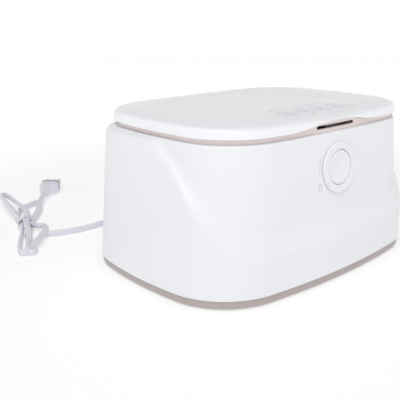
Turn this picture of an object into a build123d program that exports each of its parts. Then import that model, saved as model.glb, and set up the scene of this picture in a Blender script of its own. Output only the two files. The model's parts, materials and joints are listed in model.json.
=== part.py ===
from build123d import *
from math import atan, atan2, cos, pi, radians, sin, sqrt, tan
import os

# Baby wipe warmer, in millimetres. The origin is on the table under the middle of the base,
# +Z is up and the front, with the round opening button, faces -Y.

# Base outline: four bowed sides with rounded corners
base_half_width = 120.0
base_front = -89.0
base_back = 89.0
base_front_corner = 53.0
base_rear_corner = 50.0
base_side_bow = 10.4
base_front_bow = 11.1
base_rear_bow = 6.0

# Top outline, shared by the drum, the bezel and the lid
top_half_width = 108.5
top_front = -82.0
top_back = 81.2
top_front_corner = 45.5
top_rear_corner = 51.3
top_side_bow = 8.0
top_front_bow = 7.7
top_rear_bow = 6.1

# Housing: a drum with a wrap round its sides and back, which ramps down to a low step in front
deck_z = 110.0
wall = 2.4
hem_z = 8.0
hem_growth = 0.62
wrap_draft = 0.08
low_lean = -0.2
full_lean_z = 100.0
drum_draft = 0.06
drum_upright_z = 100.0
step_z = 32.6
step_bend = 25.0
ramp_slope = 1.22
ramp_knee_y = -50.0
ramp_knee_z = 70.5
ramp_crown = 150.0
shoulder_rise = 14.0
shoulder_narrowing = 0.16
wrap_top_drop = 2.6
shoulder_top_drop = 0.8
crest_ease = 2.6
crease_ease = 7.0
samples_per_arc = 9
fit_gap = 0.3

# Base pan and feet
pan_lift = 1.0
band_top = 7.0
pan_lip = 3.0
pan_lip_wall = 1.8
pan_chamfer = 0.8
vent_length = 22.0
vent_width = 2.4
vent_pitch = 6.0
vent_rows = 5
vent_bank_x = 63.0
vent_bank_y = 0.0
foot_radius = 7.5
foot_seat = 0.8
foot_x = 80.0
foot_y = 48.0
boss_radius = 4.0
boss_front_x = 90.0
boss_front_y = -60.0
boss_rear_x = 76.0
boss_rear_y = 68.3
screw_radius = 1.5
screw_head_radius = 3.2
screw_head = 1.2
screw_fit = 0.02
screw_bite = 12.0

# Wipe tank
tank_half_width = 97.0
tank_front = -60.0
tank_rear = 62.0
tank_corner = 26.0
tank_floor_z = 34.0
tank_wall = 1.8
tank_draft = 2.0
tank_floor_fillet = 6.0
rim_width = 4.0
rim_thickness = 1.4

# Heater stack under the tank
plate_half_width = 80.0
plate_half_depth = 46.0
plate_thickness = 1.2
mat_thickness = 1.4
felt_thickness = 3.0
retainer_thickness = 1.4
retainer_margin = 10.0
retainer_corner = 12.0
retainer_boss_inset = 4.0
retainer_boss_y = 38.0
retainer_rib = 2.4
lead_radius = 0.8
lead_notch = 7.0
cutoff_x = 30.0
cutoff_radius = 6.5
thermistor_x = -20.0

# Bezel between the housing and the lid
bezel_inset = 2.6
bezel_top = 113.5
band_wall = 1.8
collar_top = 115.4
collar_wall = 2.4
mouth_gap = 0.5
brow_rise = 4.7
brow_half_width = 54.0
slot_half_width = 21.0
slot_bottom = 112.8
slot_height = 2.5

# Lid
lid_gap = 0.4
lid_wall = 2.2
lid_profile = [
    (0.0, 0.0), (0.2, 4.4), (0.7, 5.7), (1.5, 6.6), (2.7, 7.1), (8.0, 7.8),
    (14.0, 8.5), (20.0, 9.1), (27.0, 9.6), (34.0, 9.9),
]
dish_half_width = 62.0
dish_front = -30.0
dish_rear = 56.0
dish_corner = 24.0
dish_depth = 0.8
liner_bottom = 117.0
liner_thickness = 1.2
liner_inset = 6.0
dome_inset = 4.0
liner_dome_drop = 2.4
seal_gap = 0.25
seal_width = 3.6
lid_screw_x = 60.0
lid_screw_front_y = -70.5
lid_screw_rear_x = 25.0
lid_screw_rear_y = 70.0
lid_screw_bite = 1.6

# Hinge at the back of the lid
hinge_y = 77.2
hinge_z = 114.6
knuckle_radius = 3.1
pin_radius = 1.5
pin_clearance = 0.06
hinge_x = 52.0
spring_length = 7.4
lid_knuckle = 3.6
post_knuckle = 6.0
knuckle_gap = 0.3
spring_wire = 0.45
spring_turns = 5
spring_leg = 3.0
hinge_notch_half = 72.0
hinge_notch_rise = 4.3

# Control strip and keys on the lid
strip_y = -57.0
strip_half_length = 42.0
strip_half_height = 15.0
strip_tilt = 3.8
strip_recess = 0.7
strip_thickness = 1.2
strip_ledge = 2.5
strip_frame = 1.6
strip_rise = 9.05
key_radius = 6.9
key_pitch = 18.0
key_gap = 0.3
key_proud = 0.2
key_travel = 0.35
key_flange = 1.0
key_flange_gap = 0.15
key_flange_thickness = 0.5
key_pip = 0.3
switch_height = 0.45
switch_gap = 0.05
key_board_thickness = 0.8
key_board_width = 16.0
hanger_x = 36.8
hanger_radius = 1.5

# Lock ring and opening button, square to the drafted front wall
knob_z = 83.8
ring_radius = 18.75
ring_proud = 2.2
ring_bore = 12.9
barrel_radius = 15.4
barrel_depth = 4.6
knob_gap = 0.3
button_recess = 1.1
button_dish = 0.9
button_dish_radius = 9.6
button_wall = 2.3
button_travel = 3.0
stem_radius = 3.5
lug_radius = 15.9
lug_thickness = 1.1
lock_angle = 40.0
cam_arm_radius = 18.5
cam_thickness = 1.4
cam_gap = 0.35
hook_thickness = 1.1
hook_width = 8.0
lug_width = 6.0
pip_angle = 130.0

# Latch behind the button
latch_front = -71.4
latch_thickness = 1.8
latch_half_width = 10.0
nose_z = 102.9
nose_height = 2.5
catch_front = -75.5
catch_thickness = 2.0
catch_half_width = 8.0
catch_lip = 1.5
catch_lip_height = 2.4
guide_wall = 2.0
cage_rear = -63.8
cage_top = 99.5
cage_drop = 14.0
tongue_height = 4.0
latch_screw_bite = 6.0
latch_post_x = 30.0
latch_post_y = -71.0
latch_pocket_half = 22.0
latch_spring_radius = 3.4
latch_spring_wire = 0.4
latch_spring_turns = 3
latch_spring_cone = 30.0

# Mains lead
cord_width = 5.5
cord_thickness = 2.8
cord_exit_x = -50.0
cord_exit_z = 14.0
boot_length = 22.0
boot_radius = 5.2
boot_tip_radius = 3.6
boot_collar = 2.2
boot_collar_reach = 1.4
boot_seat_gap = 0.7
boot_shoulder = 4.0
boot_ribs = 4
boot_groove = 1.2
boot_groove_pitch = 3.2
boot_clear_depth = 0.5
clamp_y = 68.0
clamp_half_span = 8.0

# Circuit board on the base pan
board_z = 8.4
pcb_thickness = 1.6
pcb_centre = (8.0, 18.0)
pcb_size = (88.0, 58.0)
board_post_inset = 5.0
board_screw_radius = 1.2
post_radius = 3.0

# Loose lead: route points on the table after the boot, and the lead's run into the plug
lead_bends = [
    (-50.0, 121.0, 14.0),
    (-54.0, 133.5, 8.0),
    (-67.0, 143.0, 3.6),
    (-85.0, 139.5, 2.9),
    (-101.0, 140.5, 2.9),
    (-114.0, 145.5, 2.9),
]
plug_lead_run = 11.0
plug_lead_turn = 5.0
plug_lead_fall = 8.0

# Hank: a bow of folded lead, tied at its waist
hank_waist = (-120.0, 174.0)
hank_outline = [
    (-158.0, 112.0), (-146.0, 101.0), (-128.0, 124.0), (-109.5, 146.0), (-110.0, 165.0),
    (-97.0, 190.0), (-81.0, 219.0), (-84.0, 228.0), (-95.0, 224.0), (-100.0, 248.0),
    (-108.0, 258.0), (-117.0, 252.0), (-133.0, 200.0), (-138.0, 168.0), (-149.0, 140.0),
]
hank_height = 14.0
hank_axis = 62.0
tie_width = 3.0
tie_thickness = 0.8
waist_half_width = 11.0
waist_height = 9.0
waist_lift = 1.1

# Plug
plug_centre = (-51.8, 263.8, 6.8)
plug_heading = 50.5
plug_length = 22.0
plug_width = 20.0
plug_height = 13.0
plug_shoulder = 9.0
plug_rear_width = 13.0
plug_rear_height = 9.0
plug_corner = 3.6
plug_neck_length = 15.0
plug_neck_radius = 4.0
plug_tip_radius = 3.3
blade_length = 16.0
blade_pitch = 12.7
blade_thickness = 1.5
blade_height = 6.5
blade_hole = 1.6


# ---- small helpers ----

def block(x0, x1, y0, y1, z0, z1):
    return Pos((x0 + x1) / 2, (y0 + y1) / 2, (z0 + z1) / 2) * Box(x1 - x0, y1 - y0, z1 - z0)


def post(x, y, z0, z1, radius):
    return Pos(x, y, (z0 + z1) / 2) * Cylinder(radius, z1 - z0)


def slab(outline, z0, z1):
    return Pos(0, 0, z0) * extrude(outline, z1 - z0)


def corners(x, front, rear):
    return [(side * x, y) for side in (-1, 1) for y in (front, rear)]


def wire_run(points, radius, bend):
    path = FilletPolyline(*points, radius=bend)
    section = Plane(path @ 0, z_dir=path % 0) * Circle(radius)
    return sweep(section, path=path)


# ---- outlines ----

def tangent_centre(first, second, radius):
    """Centre, on the right, of a corner arc that runs tangent inside two circles."""
    (start, start_radius), (end, end_radius) = first, second
    reach, other = start_radius - radius, end_radius - radius
    between = end - start
    along = (reach ** 2 - other ** 2 + between.length ** 2) / (2 * between.length)
    across = sqrt(reach ** 2 - along ** 2)
    unit = between.normalized()
    choices = [start + unit * along + Vector(-unit.Y, unit.X, 0) * side * across for side in (-1, 1)]
    return max(choices, key=lambda point: point.X)


def bowed_arcs(half_width, front, back, front_corner, rear_corner, side_bow, front_bow, rear_bow):
    """Eight tangent arcs, anticlockwise from the front: centre, radius and the directions of both ends."""
    half_chord = half_width - side_bow
    half_depth = (back - rear_bow - front - front_bow) / 2
    side_y = (back - rear_bow + front + front_bow) / 2
    front_radius, rear_radius, side_radius = [
        (chord ** 2 + bow ** 2) / (2 * bow)
        for chord, bow in ((half_chord, front_bow), (half_chord, rear_bow), (half_depth, side_bow))]
    front_circle = (Vector(0, front + front_radius), front_radius)
    rear_circle = (Vector(0, back - rear_radius), rear_radius)
    side_circle = (Vector(half_width - side_radius, side_y), side_radius)
    front_centre = tangent_centre(front_circle, side_circle, front_corner)
    rear_centre = tangent_centre(rear_circle, side_circle, rear_corner)
    turns = [atan2(way.Y, way.X) for way in (
        front_centre - front_circle[0], front_centre - side_circle[0],
        rear_centre - side_circle[0], rear_centre - rear_circle[0])]
    right = [(front_centre, front_corner, turns[0], turns[1]), (*side_circle, turns[1], turns[2]),
             (rear_centre, rear_corner, turns[2], turns[3])]
    left = [(Vector(-centre.X, centre.Y), radius, pi - end, pi - start)
            for centre, radius, start, end in right[::-1]]
    return [(*front_circle, -pi - turns[0], turns[0]), *right, (*rear_circle, turns[3], pi - turns[3]), *left]


base_arcs = bowed_arcs(
    base_half_width, base_front, base_back, base_front_corner, base_rear_corner,
    base_side_bow, base_front_bow, base_rear_bow)
top_arcs = bowed_arcs(
    top_half_width, top_front, top_back, top_front_corner, top_rear_corner,
    top_side_bow, top_front_bow, top_rear_bow)


def outline(arcs, growth=0.0):
    edges = []
    for centre, radius, start, end in arcs:
        ends = [centre + Vector(cos(turn), sin(turn)) * (radius + growth)
                for turn in (start, (start + end) / 2, end)]
        edges.append(ThreePointArc(*ends))
    return make_face(edges)


def base_outline(growth=0.0):
    return outline(base_arcs, growth)


def top_outline(growth=0.0):
    return outline(top_arcs, growth)


def tank_outline(margin):
    depth = tank_rear - tank_front + 2 * margin
    middle = (tank_front + tank_rear) / 2
    return Pos(0, middle) * RectangleRounded(2 * (tank_half_width + margin), depth, tank_corner + margin)


def around(arcs):
    """Points and outward directions, anticlockwise from the front, the same number on each arc."""
    ring = []
    for centre, radius, start, end in arcs:
        for step in range(samples_per_arc):
            turn = start + (end - start) * step / samples_per_arc
            out = Vector(cos(turn), sin(turn))
            ring.append((centre + out * radius, out))
    return ring


base_ring = around(base_arcs)
top_ring = around(top_arcs)


# ---- housing ----

def wrap_growth(z, rim=deck_z):
    """How far the wrap stands outside the base outline: it leans in, but not where its rim is low."""
    share = min(max((rim - step_z) / (full_lean_z - step_z), 0), 1)
    lean = low_lean + (1 - low_lean) * share ** 2 * (3 - 2 * share)
    return hem_growth - wrap_draft * lean * (z - hem_z)


def drum_growth(z):
    return drum_draft * (drum_upright_z - z)


def crest_height(y):
    """Height of the wrap's outer rim: a low step in front, a bend, a straight ramp and a crowned top."""
    lean = atan(ramp_slope)
    meet_y = ramp_knee_y - (ramp_knee_z - step_z) / ramp_slope
    reach = step_bend * tan(lean / 2)
    if y <= meet_y - reach:
        return step_z
    if y <= meet_y + reach * cos(lean):
        return step_z + step_bend - sqrt(step_bend ** 2 - (y - meet_y + reach) ** 2)
    if y <= ramp_knee_y:
        return ramp_knee_z + ramp_slope * (y - ramp_knee_y)
    centre_y = ramp_knee_y + ramp_crown * sin(lean)
    centre_z = ramp_knee_z - ramp_crown * cos(lean)
    height = centre_z + sqrt(ramp_crown ** 2 - min(y - centre_y, 0) ** 2)
    return min(height, deck_z - wrap_top_drop)


def eased(before, corner, after, reach):
    """Three points that round a corner of a wall's profile."""
    back = before - corner
    ahead = after - corner
    near = corner + back.normalized() * min(reach, 0.45 * back.length)
    far = corner + ahead.normalized() * min(reach, 0.45 * ahead.length)
    return near, (near + far) * 0.25 + corner * 0.5, far


def housing_form(inset, foot_z):
    """Solid inside the housing's skin, moved inwards by inset: wrap wall, shoulder and drum wall."""
    profiles = []
    for (base_point, base_out), (top_point, top_out) in zip(base_ring, top_ring):
        rim = crest_height(base_point.Y + base_out.Y * hem_growth)
        rise = shoulder_rise - shoulder_narrowing * (rim - step_z)
        crest_z = rim - 0.6 * inset
        crease_z = min(rim + rise, deck_z - shoulder_top_drop) - 0.9 * inset
        top_z = deck_z - inset
        foot = base_point + base_out * (wrap_growth(foot_z, rim) - inset) + Vector(0, 0, foot_z)
        crest = base_point + base_out * (wrap_growth(crest_z, rim) - inset) + Vector(0, 0, crest_z)
        crease = top_point + top_out * (drum_growth(crease_z) - inset) + Vector(0, 0, crease_z)
        top = top_point + top_out * (drum_growth(top_z) - inset) + Vector(0, 0, top_z)
        profiles.append([foot, *eased(foot, crest, crease, crest_ease),
                         *eased(crest, crease, top, crease_ease), top])
    rings = [Wire([Spline(ring, periodic=True)]) for ring in zip(*profiles)]
    return Solid.make_loft(rings, ruled=True)


# A plane on the drafted front wall: its origin is the knob's centre and +Z points out of the wall
knob_lean = atan(drum_draft)
wall_y = top_front - drum_growth(knob_z)
knob_plane = Plane(origin=(0, wall_y, knob_z), x_dir=(1, 0, 0), z_dir=(0, -cos(knob_lean), sin(knob_lean)))


def knob_disc(radius, low, high):
    return knob_plane * Pos(0, 0, (low + high) / 2) * Cylinder(radius, high - low)


band_back = top_front - drum_growth(deck_z) + bezel_inset + band_wall
pocket_rear = tank_front - tank_wall - rim_width - 1.5


def latch_pocket(z0, z1):
    return block(-latch_pocket_half, latch_pocket_half, band_back, pocket_rear, z0, z1)


boss_places = [(side * x, y) for side in (-1, 1)
               for x, y in ((boss_front_x, boss_front_y), (boss_rear_x, boss_rear_y))]
floor_top = pan_lift + wall
boot_groove_radius = boot_tip_radius + 0.4


clamp_posts = (cord_exit_x - clamp_half_span, cord_exit_x + clamp_half_span)


def bow_drop(x, half_chord, bow):
    """How far a bowed side falls back at x from its middle."""
    radius = (half_chord ** 2 + bow ** 2) / (2 * bow)
    return radius - sqrt(radius ** 2 - x ** 2)


exit_wall_y = (base_back - bow_drop(cord_exit_x, base_half_width - base_side_bow, base_rear_bow)
               + wrap_growth(cord_exit_z))


def body_shell():
    skin = housing_form(0, band_top)
    shell = skin - housing_form(wall, band_top - 1)
    bosses = [post(x, y, band_top, deck_z, boss_radius) for x, y in boss_places]
    bosses += [post(x, latch_post_y, cage_top, deck_z, boss_radius) for x in (-latch_post_x, latch_post_x)]
    shell += (Part() + bosses) & skin
    shell += [post(x, y, floor_top, band_top + 1, boss_radius) for x, y in boss_places]
    shell -= slab(tank_outline(tank_wall + mouth_gap), deck_z - 2 * wall, deck_z + 1)
    shell -= latch_pocket(deck_z - 2 * wall, deck_z + 1)
    shell -= knob_disc(barrel_radius + knob_gap, -3 * wall, wall)
    shell -= Pos(cord_exit_x, base_back, cord_exit_z) * Rot(90, 0, 0) * Cylinder(boot_groove_radius, 8 * wall)
    for x, y in boss_places:
        shell -= post(x, y, floor_top - 1, floor_top + screw_bite, screw_radius)
    for x in (-latch_post_x, latch_post_x):
        shell -= post(x, latch_post_y, cage_top - 1, cage_top + latch_screw_bite, screw_radius)
    return shell


def base_plate():
    pan = slab(base_outline(), pan_lift, band_top)
    pan = chamfer(pan.edges().group_by(Axis.Z)[0], pan_chamfer)
    lip_growth = wrap_growth(band_top + pan_lip) - wall - fit_gap
    pan += slab(base_outline(lip_growth), floor_top, band_top + pan_lip)
    pan -= slab(base_outline(lip_growth - pan_lip_wall), floor_top, band_top + pan_lip + 1)
    for x, y in corners(foot_x, -foot_y, foot_y):
        pan -= post(x, y, pan_lift - 1, pan_lift + foot_seat, foot_radius + fit_gap / 2)
    for x, y in boss_places:
        pan -= post(x, y, pan_lift - 1, pan_lift + screw_head + 0.2, screw_head_radius + 0.4)
        pan -= post(x, y, pan_lift - 1, floor_top + 1, screw_radius + 0.2)
    collar_room = Cylinder(boot_radius + boot_collar_reach + fit_gap, 6 * wall)
    pan -= Pos(cord_exit_x, exit_wall_y - wall, cord_exit_z) * Rot(90, 0, 0) * collar_room
    vent = extrude(SlotOverall(vent_length, vent_width), wall + 2)
    for x in (-vent_bank_x, vent_bank_x):
        pan -= [Pos(x, vent_bank_y, pan_lift - 1) * place * vent
                for place in GridLocations(vent_length + 6, vent_pitch, 1, vent_rows)]
    for x, y in board_posts:
        pan += post(x, y, floor_top - 0.5, board_z, post_radius)
        pan -= post(x, y, floor_top, board_z + 1, board_screw_radius)
    for x in clamp_posts:
        pan += post(x, clamp_y, floor_top - 0.5, cord_exit_z - cord_thickness / 2, post_radius)
        pan -= post(x, clamp_y, floor_top, cord_exit_z, board_screw_radius)
    return pan


def rubber_foot(x, y):
    foot = post(x, y, 0, pan_lift + foot_seat, foot_radius)
    foot = fillet(foot.edges().group_by(Axis.Z)[0], 0.5)
    return foot - post(x, y, -1, 0.6, foot_radius / 2)


def screw(x, y, head_z, length, radius=screw_radius - screw_fit, head_radius=screw_head_radius):
    """Pan-head screw driven upwards: its head hangs below head_z."""
    head = post(x, y, head_z - screw_head, head_z, head_radius)
    head = fillet(head.edges().group_by(Axis.Z)[0], 0.5)
    cross = Box(head_radius * 1.2, 0.7, 1.2) + Box(0.7, head_radius * 1.2, 1.2)
    return head + post(x, y, head_z, head_z + length, radius) - Pos(x, y, head_z - screw_head) * cross


def base_screws():
    head_z = pan_lift + screw_head + 0.2
    return Part() + [screw(x, y, head_z, wall + screw_bite - 3) for x, y in boss_places]


# ---- tank and heater ----

def tank_form(margin, low, high):
    """Solid between the tank's walls grown by margin, narrower at the floor."""
    bottom = Pos(0, 0, low) * tank_outline(margin - tank_draft)
    top = Pos(0, 0, high) * tank_outline(margin)
    return loft([bottom, top], ruled=True)


rim_top = deck_z + rim_thickness
tank_under = tank_floor_z - tank_wall
plate_under = tank_under - plate_thickness
mat_under = plate_under - mat_thickness
felt_under = mat_under - felt_thickness
retainer_under = felt_under - retainer_thickness
tank_middle = (tank_front + tank_rear) / 2
retainer_bosses = corners(plate_half_width + retainer_margin - retainer_boss_inset,
                          tank_middle - retainer_boss_y, tank_middle + retainer_boss_y)


def wipe_tank():
    tank = tank_form(tank_wall, tank_under, rim_top)
    tank += slab(tank_outline(tank_wall + rim_width), deck_z, rim_top)
    cavity = tank_form(0, tank_floor_z, rim_top + 1)
    cavity = fillet(cavity.edges().group_by(Axis.Z)[0], tank_floor_fillet)
    tank -= cavity
    for x, y in retainer_bosses:
        tank += post(x, y, felt_under, tank_floor_z - tank_wall / 2, boss_radius)
        tank -= post(x, y, felt_under - 1, tank_under - 1, screw_radius)
    return tank


def heater_layer(margin, low, high, radius=8.0):
    outline = Pos(0, tank_middle) * RectangleRounded(
        2 * (plate_half_width + margin), 2 * (plate_half_depth + margin), radius)
    return slab(outline, low, high)


def warming_plate():
    return heater_layer(0, plate_under, tank_under)


def heater_mat():
    tail = block(-plate_half_width - 9, -plate_half_width + 4, tank_middle - 6, tank_middle + 6,
                 mat_under, plate_under)
    return heater_layer(-2, mat_under, plate_under) + tail


def sensor_wells(low, high):
    wells = post(cutoff_x, tank_middle, low, high, cutoff_radius + 0.6)
    return wells + block(thermistor_x - 6, thermistor_x + 6, tank_middle - 4, tank_middle + 4, low, high)


def heater_felt():
    return heater_layer(-2, felt_under, mat_under) - sensor_wells(felt_under - 1, mat_under + 1)


def heater_retainer():
    tray = heater_layer(retainer_margin, retainer_under, felt_under, retainer_corner)
    tray -= sensor_wells(retainer_under - 1, felt_under + 1)
    for x in (-50, 0, 50):
        for y in (tank_middle - 52, tank_middle + 12):
            tray += block(x - 0.8, x + 0.8, y, y + 40, retainer_under - retainer_rib, retainer_under)
    for x, y in retainer_bosses:
        tray -= post(x, y, retainer_under - 1, felt_under + 1, screw_radius + 0.2)
    tray -= block(-plate_half_width - retainer_margin - 1, -plate_half_width - 2, tank_middle - lead_notch,
                  tank_middle + lead_notch, retainer_under - 1, felt_under + 1)
    return tray


def heater_screws():
    return Part() + [screw(x, y, retainer_under, 5.0) for x, y in retainer_bosses]


def thermal_cutoff():
    can = post(cutoff_x, tank_middle, mat_under - 3.4, mat_under, cutoff_radius)
    can = fillet(can.edges().group_by(Axis.Z)[0], 0.8)
    collar = post(cutoff_x, tank_middle, mat_under - 5.0, mat_under - 3.4, cutoff_radius * 0.72)
    lugs = block(cutoff_x - 9.5, cutoff_x + 9.5, tank_middle - 2.4, tank_middle + 2.4,
                 mat_under - 5.8, mat_under - 5.0)
    return can + collar + lugs


def thermistor():
    bead = block(thermistor_x - 3, thermistor_x + 3, tank_middle - 2, tank_middle + 2,
                 mat_under - 2.2, mat_under)
    return fillet(bead.edges().filter_by(Axis.Z), 1.4)


# ---- electronics on the base pan ----

pcb_x, pcb_y = pcb_centre
board_top = board_z + pcb_thickness
board_posts = [(pcb_x + x, pcb_y + y) for x, y in corners(
    pcb_size[0] / 2 - board_post_inset, board_post_inset - pcb_size[1] / 2, pcb_size[1] / 2 - board_post_inset)]


def on_board(x, y, length, depth, height):
    return block(pcb_x + x, pcb_x + x + length, pcb_y + y, pcb_y + y + depth, board_top, board_top + height)


def main_board():
    board = block(pcb_x - pcb_size[0] / 2, pcb_x + pcb_size[0] / 2,
                  pcb_y - pcb_size[1] / 2, pcb_y + pcb_size[1] / 2, board_z, board_top)
    for x, y in board_posts:
        board -= post(x, y, board_z - 1, board_top + 1, board_screw_radius + 0.3)
    return board


def power_module():
    can = on_board(-8, -20, 34, 22, 12)
    return fillet(can.edges().group_by(Axis.Z)[-1], 1.0)


def board_relay():
    return fillet(on_board(-8, 8, 20, 14, 11).edges().group_by(Axis.Z)[-1], 0.6)


def board_capacitor():
    can = post(pcb_x - 22, pcb_y - 8, board_top, board_top + 11, 5.0)
    can = fillet(can.edges().group_by(Axis.Z)[-1], 0.7)
    return can - post(pcb_x - 22, pcb_y - 8, board_top + 10.6, board_top + 12, 3.6)


def terminal_block():
    body = on_board(-32, 10, 15, 9, 9)
    for x in (-28.25, -20.75):
        body -= post(pcb_x + x, pcb_y + 14.5, board_top + 7, board_top + 10, 2.0)
        body -= Pos(pcb_x + x, pcb_y + 19, board_top + 3) * Box(3.4, 6, 3.4)
    return body


def board_screws():
    heads = []
    for x, y in board_posts:
        head = post(x, y, board_top, board_top + 1.2, 2.6)
        head = fillet(head.edges().group_by(Axis.Z)[-1], 0.5)
        shank = post(x, y, board_z - 4.5, board_top, board_screw_radius - screw_fit)
        heads.append(head + shank - Pos(x, y, board_top + 1.2) * (Box(3, 0.6, 1) + Box(0.6, 3, 1)))
    return Part() + heads


def heater_leads():
    start_x = -plate_half_width - 6.5
    leads = []
    for side in (-1, 1):
        leads.append(wire_run([
            (start_x, tank_middle + side * 3, mat_under),
            (start_x, tank_middle + side * 3, board_z + 6),
            (start_x + 30, tank_middle + 8 + side * 3, board_z + 1),
            (pcb_x - 38, pcb_y - 16 + side * 2, board_z + 7),
            (pcb_x - 38 + 8, pcb_y - 16 + side * 2, board_z + 7),
            (pcb_x - 38 + 8, pcb_y - 16 + side * 2, board_top),
        ], lead_radius, 2.5))
    return Part() + leads


def mains_leads():
    leads = []
    for side in (-1, 1):
        leads.append(wire_run([
            (cord_exit_x + side * 1.3, clamp_y - 6, cord_exit_z),
            (cord_exit_x + side * 1.3, clamp_y - 14 + side * 2, cord_exit_z),
            (pcb_x - 24.5 + side * 3.75, pcb_y + 33 + side * 2, board_top + 3),
            (pcb_x - 24.5 + side * 3.75, pcb_y + 18, board_top + 3),
        ], lead_radius, 2.5))
    return Part() + leads


# ---- bezel and hinge ----

bezel_growth = drum_growth(deck_z) - bezel_inset


def brow_profile(low, peak, rise, half_width, spread):
    """Upright outline of the raised brow in front: two hollow curves run into a crowned middle."""
    shoulder = peak - rise / 2
    foot = peak - rise
    bend = half_width / 2
    left = [(-spread, low), (-spread, foot), (-half_width, foot)]
    return make_face([
        Line((spread, low), (-spread, low)),
        Line(left[0], left[1]),
        Line(left[1], left[2]),
        TangentArc((-half_width, foot), (-bend, shoulder), tangent=(1, 0)),
        ThreePointArc((-bend, shoulder), (0, peak), (bend, shoulder)),
        TangentArc((half_width, foot), (bend, shoulder), tangent=(-1, 0)),
        Line((half_width, foot), (spread, foot)),
        Line((spread, foot), (spread, low)),
    ])


def front_wall_tool(profile, y0, y1):
    return extrude(Plane.XZ.offset(-y1) * profile, y1 - y0)


def top_bezel():
    bezel = slab(top_outline(bezel_growth), deck_z, bezel_top)
    bezel -= slab(tank_outline(tank_wall + rim_width + fit_gap), deck_z - 1, rim_top)
    bezel += slab(tank_outline(mouth_gap + collar_wall), rim_top, collar_top)
    bezel -= slab(tank_outline(mouth_gap), deck_z - 1, collar_top + 1)
    brow = slab(top_outline(bezel_growth), bezel_top, bezel_top + brow_rise)
    brow -= slab(top_outline(bezel_growth - band_wall), bezel_top - 1, bezel_top + 2 * brow_rise)
    upright = brow_profile(deck_z, bezel_top + brow_rise, brow_rise, brow_half_width, top_half_width)
    bezel += brow & front_wall_tool(upright, base_front, tank_front)
    bezel -= latch_pocket(deck_z - 1, collar_top + 5)
    slot = Pos(0, slot_bottom + slot_height / 2) * SlotOverall(2 * slot_half_width, slot_height)
    bezel -= front_wall_tool(slot, base_front, top_front + bezel_inset + band_wall + 3)
    for side in (-1, 1):
        bezel -= hinge_span(side, -hinge_inner - knuckle_gap, hinge_inner + knuckle_gap, knuckle_radius + 0.5,
                            hinge_y + 20)
        for low in (-hinge_inner - post_knuckle, hinge_inner):
            bezel += hinge_post(side, low, low + post_knuckle)
    bezel -= Pos(0, hinge_y, hinge_z) * Rot(0, 90, 0) * Cylinder(pin_radius + pin_clearance, 3 * hinge_x)
    return bezel


hinge_inner = spring_length / 2 + lid_knuckle + knuckle_gap


def hinge_span(side, low, high, reach, rear):
    """Space for the lid's knuckles, from the deck up."""
    centre = side * hinge_x
    return block(centre + low, centre + high, hinge_y - reach, rear, deck_z - 1, bezel_top + 9)


def knuckle(side, low, high):
    centre = side * hinge_x + (low + high) / 2
    return Pos(centre, hinge_y, hinge_z) * Rot(0, 90, 0) * Cylinder(knuckle_radius, high - low)


def hinge_post(side, low, high):
    centre = side * hinge_x
    web = block(centre + low, centre + high, hinge_y - knuckle_radius, hinge_y + knuckle_radius,
                deck_z, hinge_z)
    return knuckle(side, low, high) + web


def hinge_pin(side):
    reach = hinge_inner + post_knuckle - 0.6
    return Pos(side * hinge_x, hinge_y, hinge_z) * Rot(0, 90, 0) * Cylinder(pin_radius, 2 * reach)


def lid_spring(side):
    """Torsion spring round the pin, with one leg against the bezel and one under the liner."""
    length = spring_length - 2 * spring_wire - 2 * knuckle_gap
    radius = pin_radius + spring_wire + knuckle_gap
    coil = Helix(pitch=length / (spring_turns + 0.5), height=length, radius=radius)
    coil = Pos(side * hinge_x - length / 2, hinge_y, hinge_z) * Rot(0, 90, 0) * coil
    spring = sweep(Plane(coil @ 0, z_dir=coil % 0) * Circle(spring_wire), path=coil)
    for end in (0, 1):
        reach = (spring_leg, spring_leg / 2)[end]
        spring += extrude(Plane(coil @ end, z_dir=(0, -1, 0)) * Circle(spring_wire), reach)
    return spring


# ---- lid ----

lid_bottom = bezel_top + lid_gap
lid_screw_places = [(side * x, y) for side in (-1, 1)
                    for x, y in ((lid_screw_x, lid_screw_front_y), (lid_screw_rear_x, lid_screw_rear_y))]


def lid_form(inset, drop):
    """Solid under the lid's skin, moved inwards by inset and down by drop."""
    rings = [Pos(0, 0, lid_bottom + rise - drop) * top_outline(-reach - inset) for reach, rise in lid_profile]
    return loft(rings, ruled=True)


lid_top = lid_bottom + lid_profile[-1][1]
strip_z = lid_bottom + strip_rise
strip_plane = Plane(origin=(0, strip_y, strip_z), x_dir=(1, 0, 0),
                    z_dir=(0, -sin(radians(strip_tilt)), cos(radians(strip_tilt))))
strip_under = -strip_recess - strip_thickness
key_places = [key_pitch * (k - 1.5) for k in range(4)]
key_names = ["key_power", "key_warmth", "key_light", "key_timer"]


def on_strip(outline, low, high):
    return extrude(strip_plane.offset(low) * outline, high - low)


def strip_outline(margin):
    return SlotOverall(2 * (strip_half_length + margin), 2 * (strip_half_height + margin))


def hinge_notch(low, high):
    return block(-hinge_notch_half, hinge_notch_half, hinge_y - knuckle_radius - 1, base_back, low, high)


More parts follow.
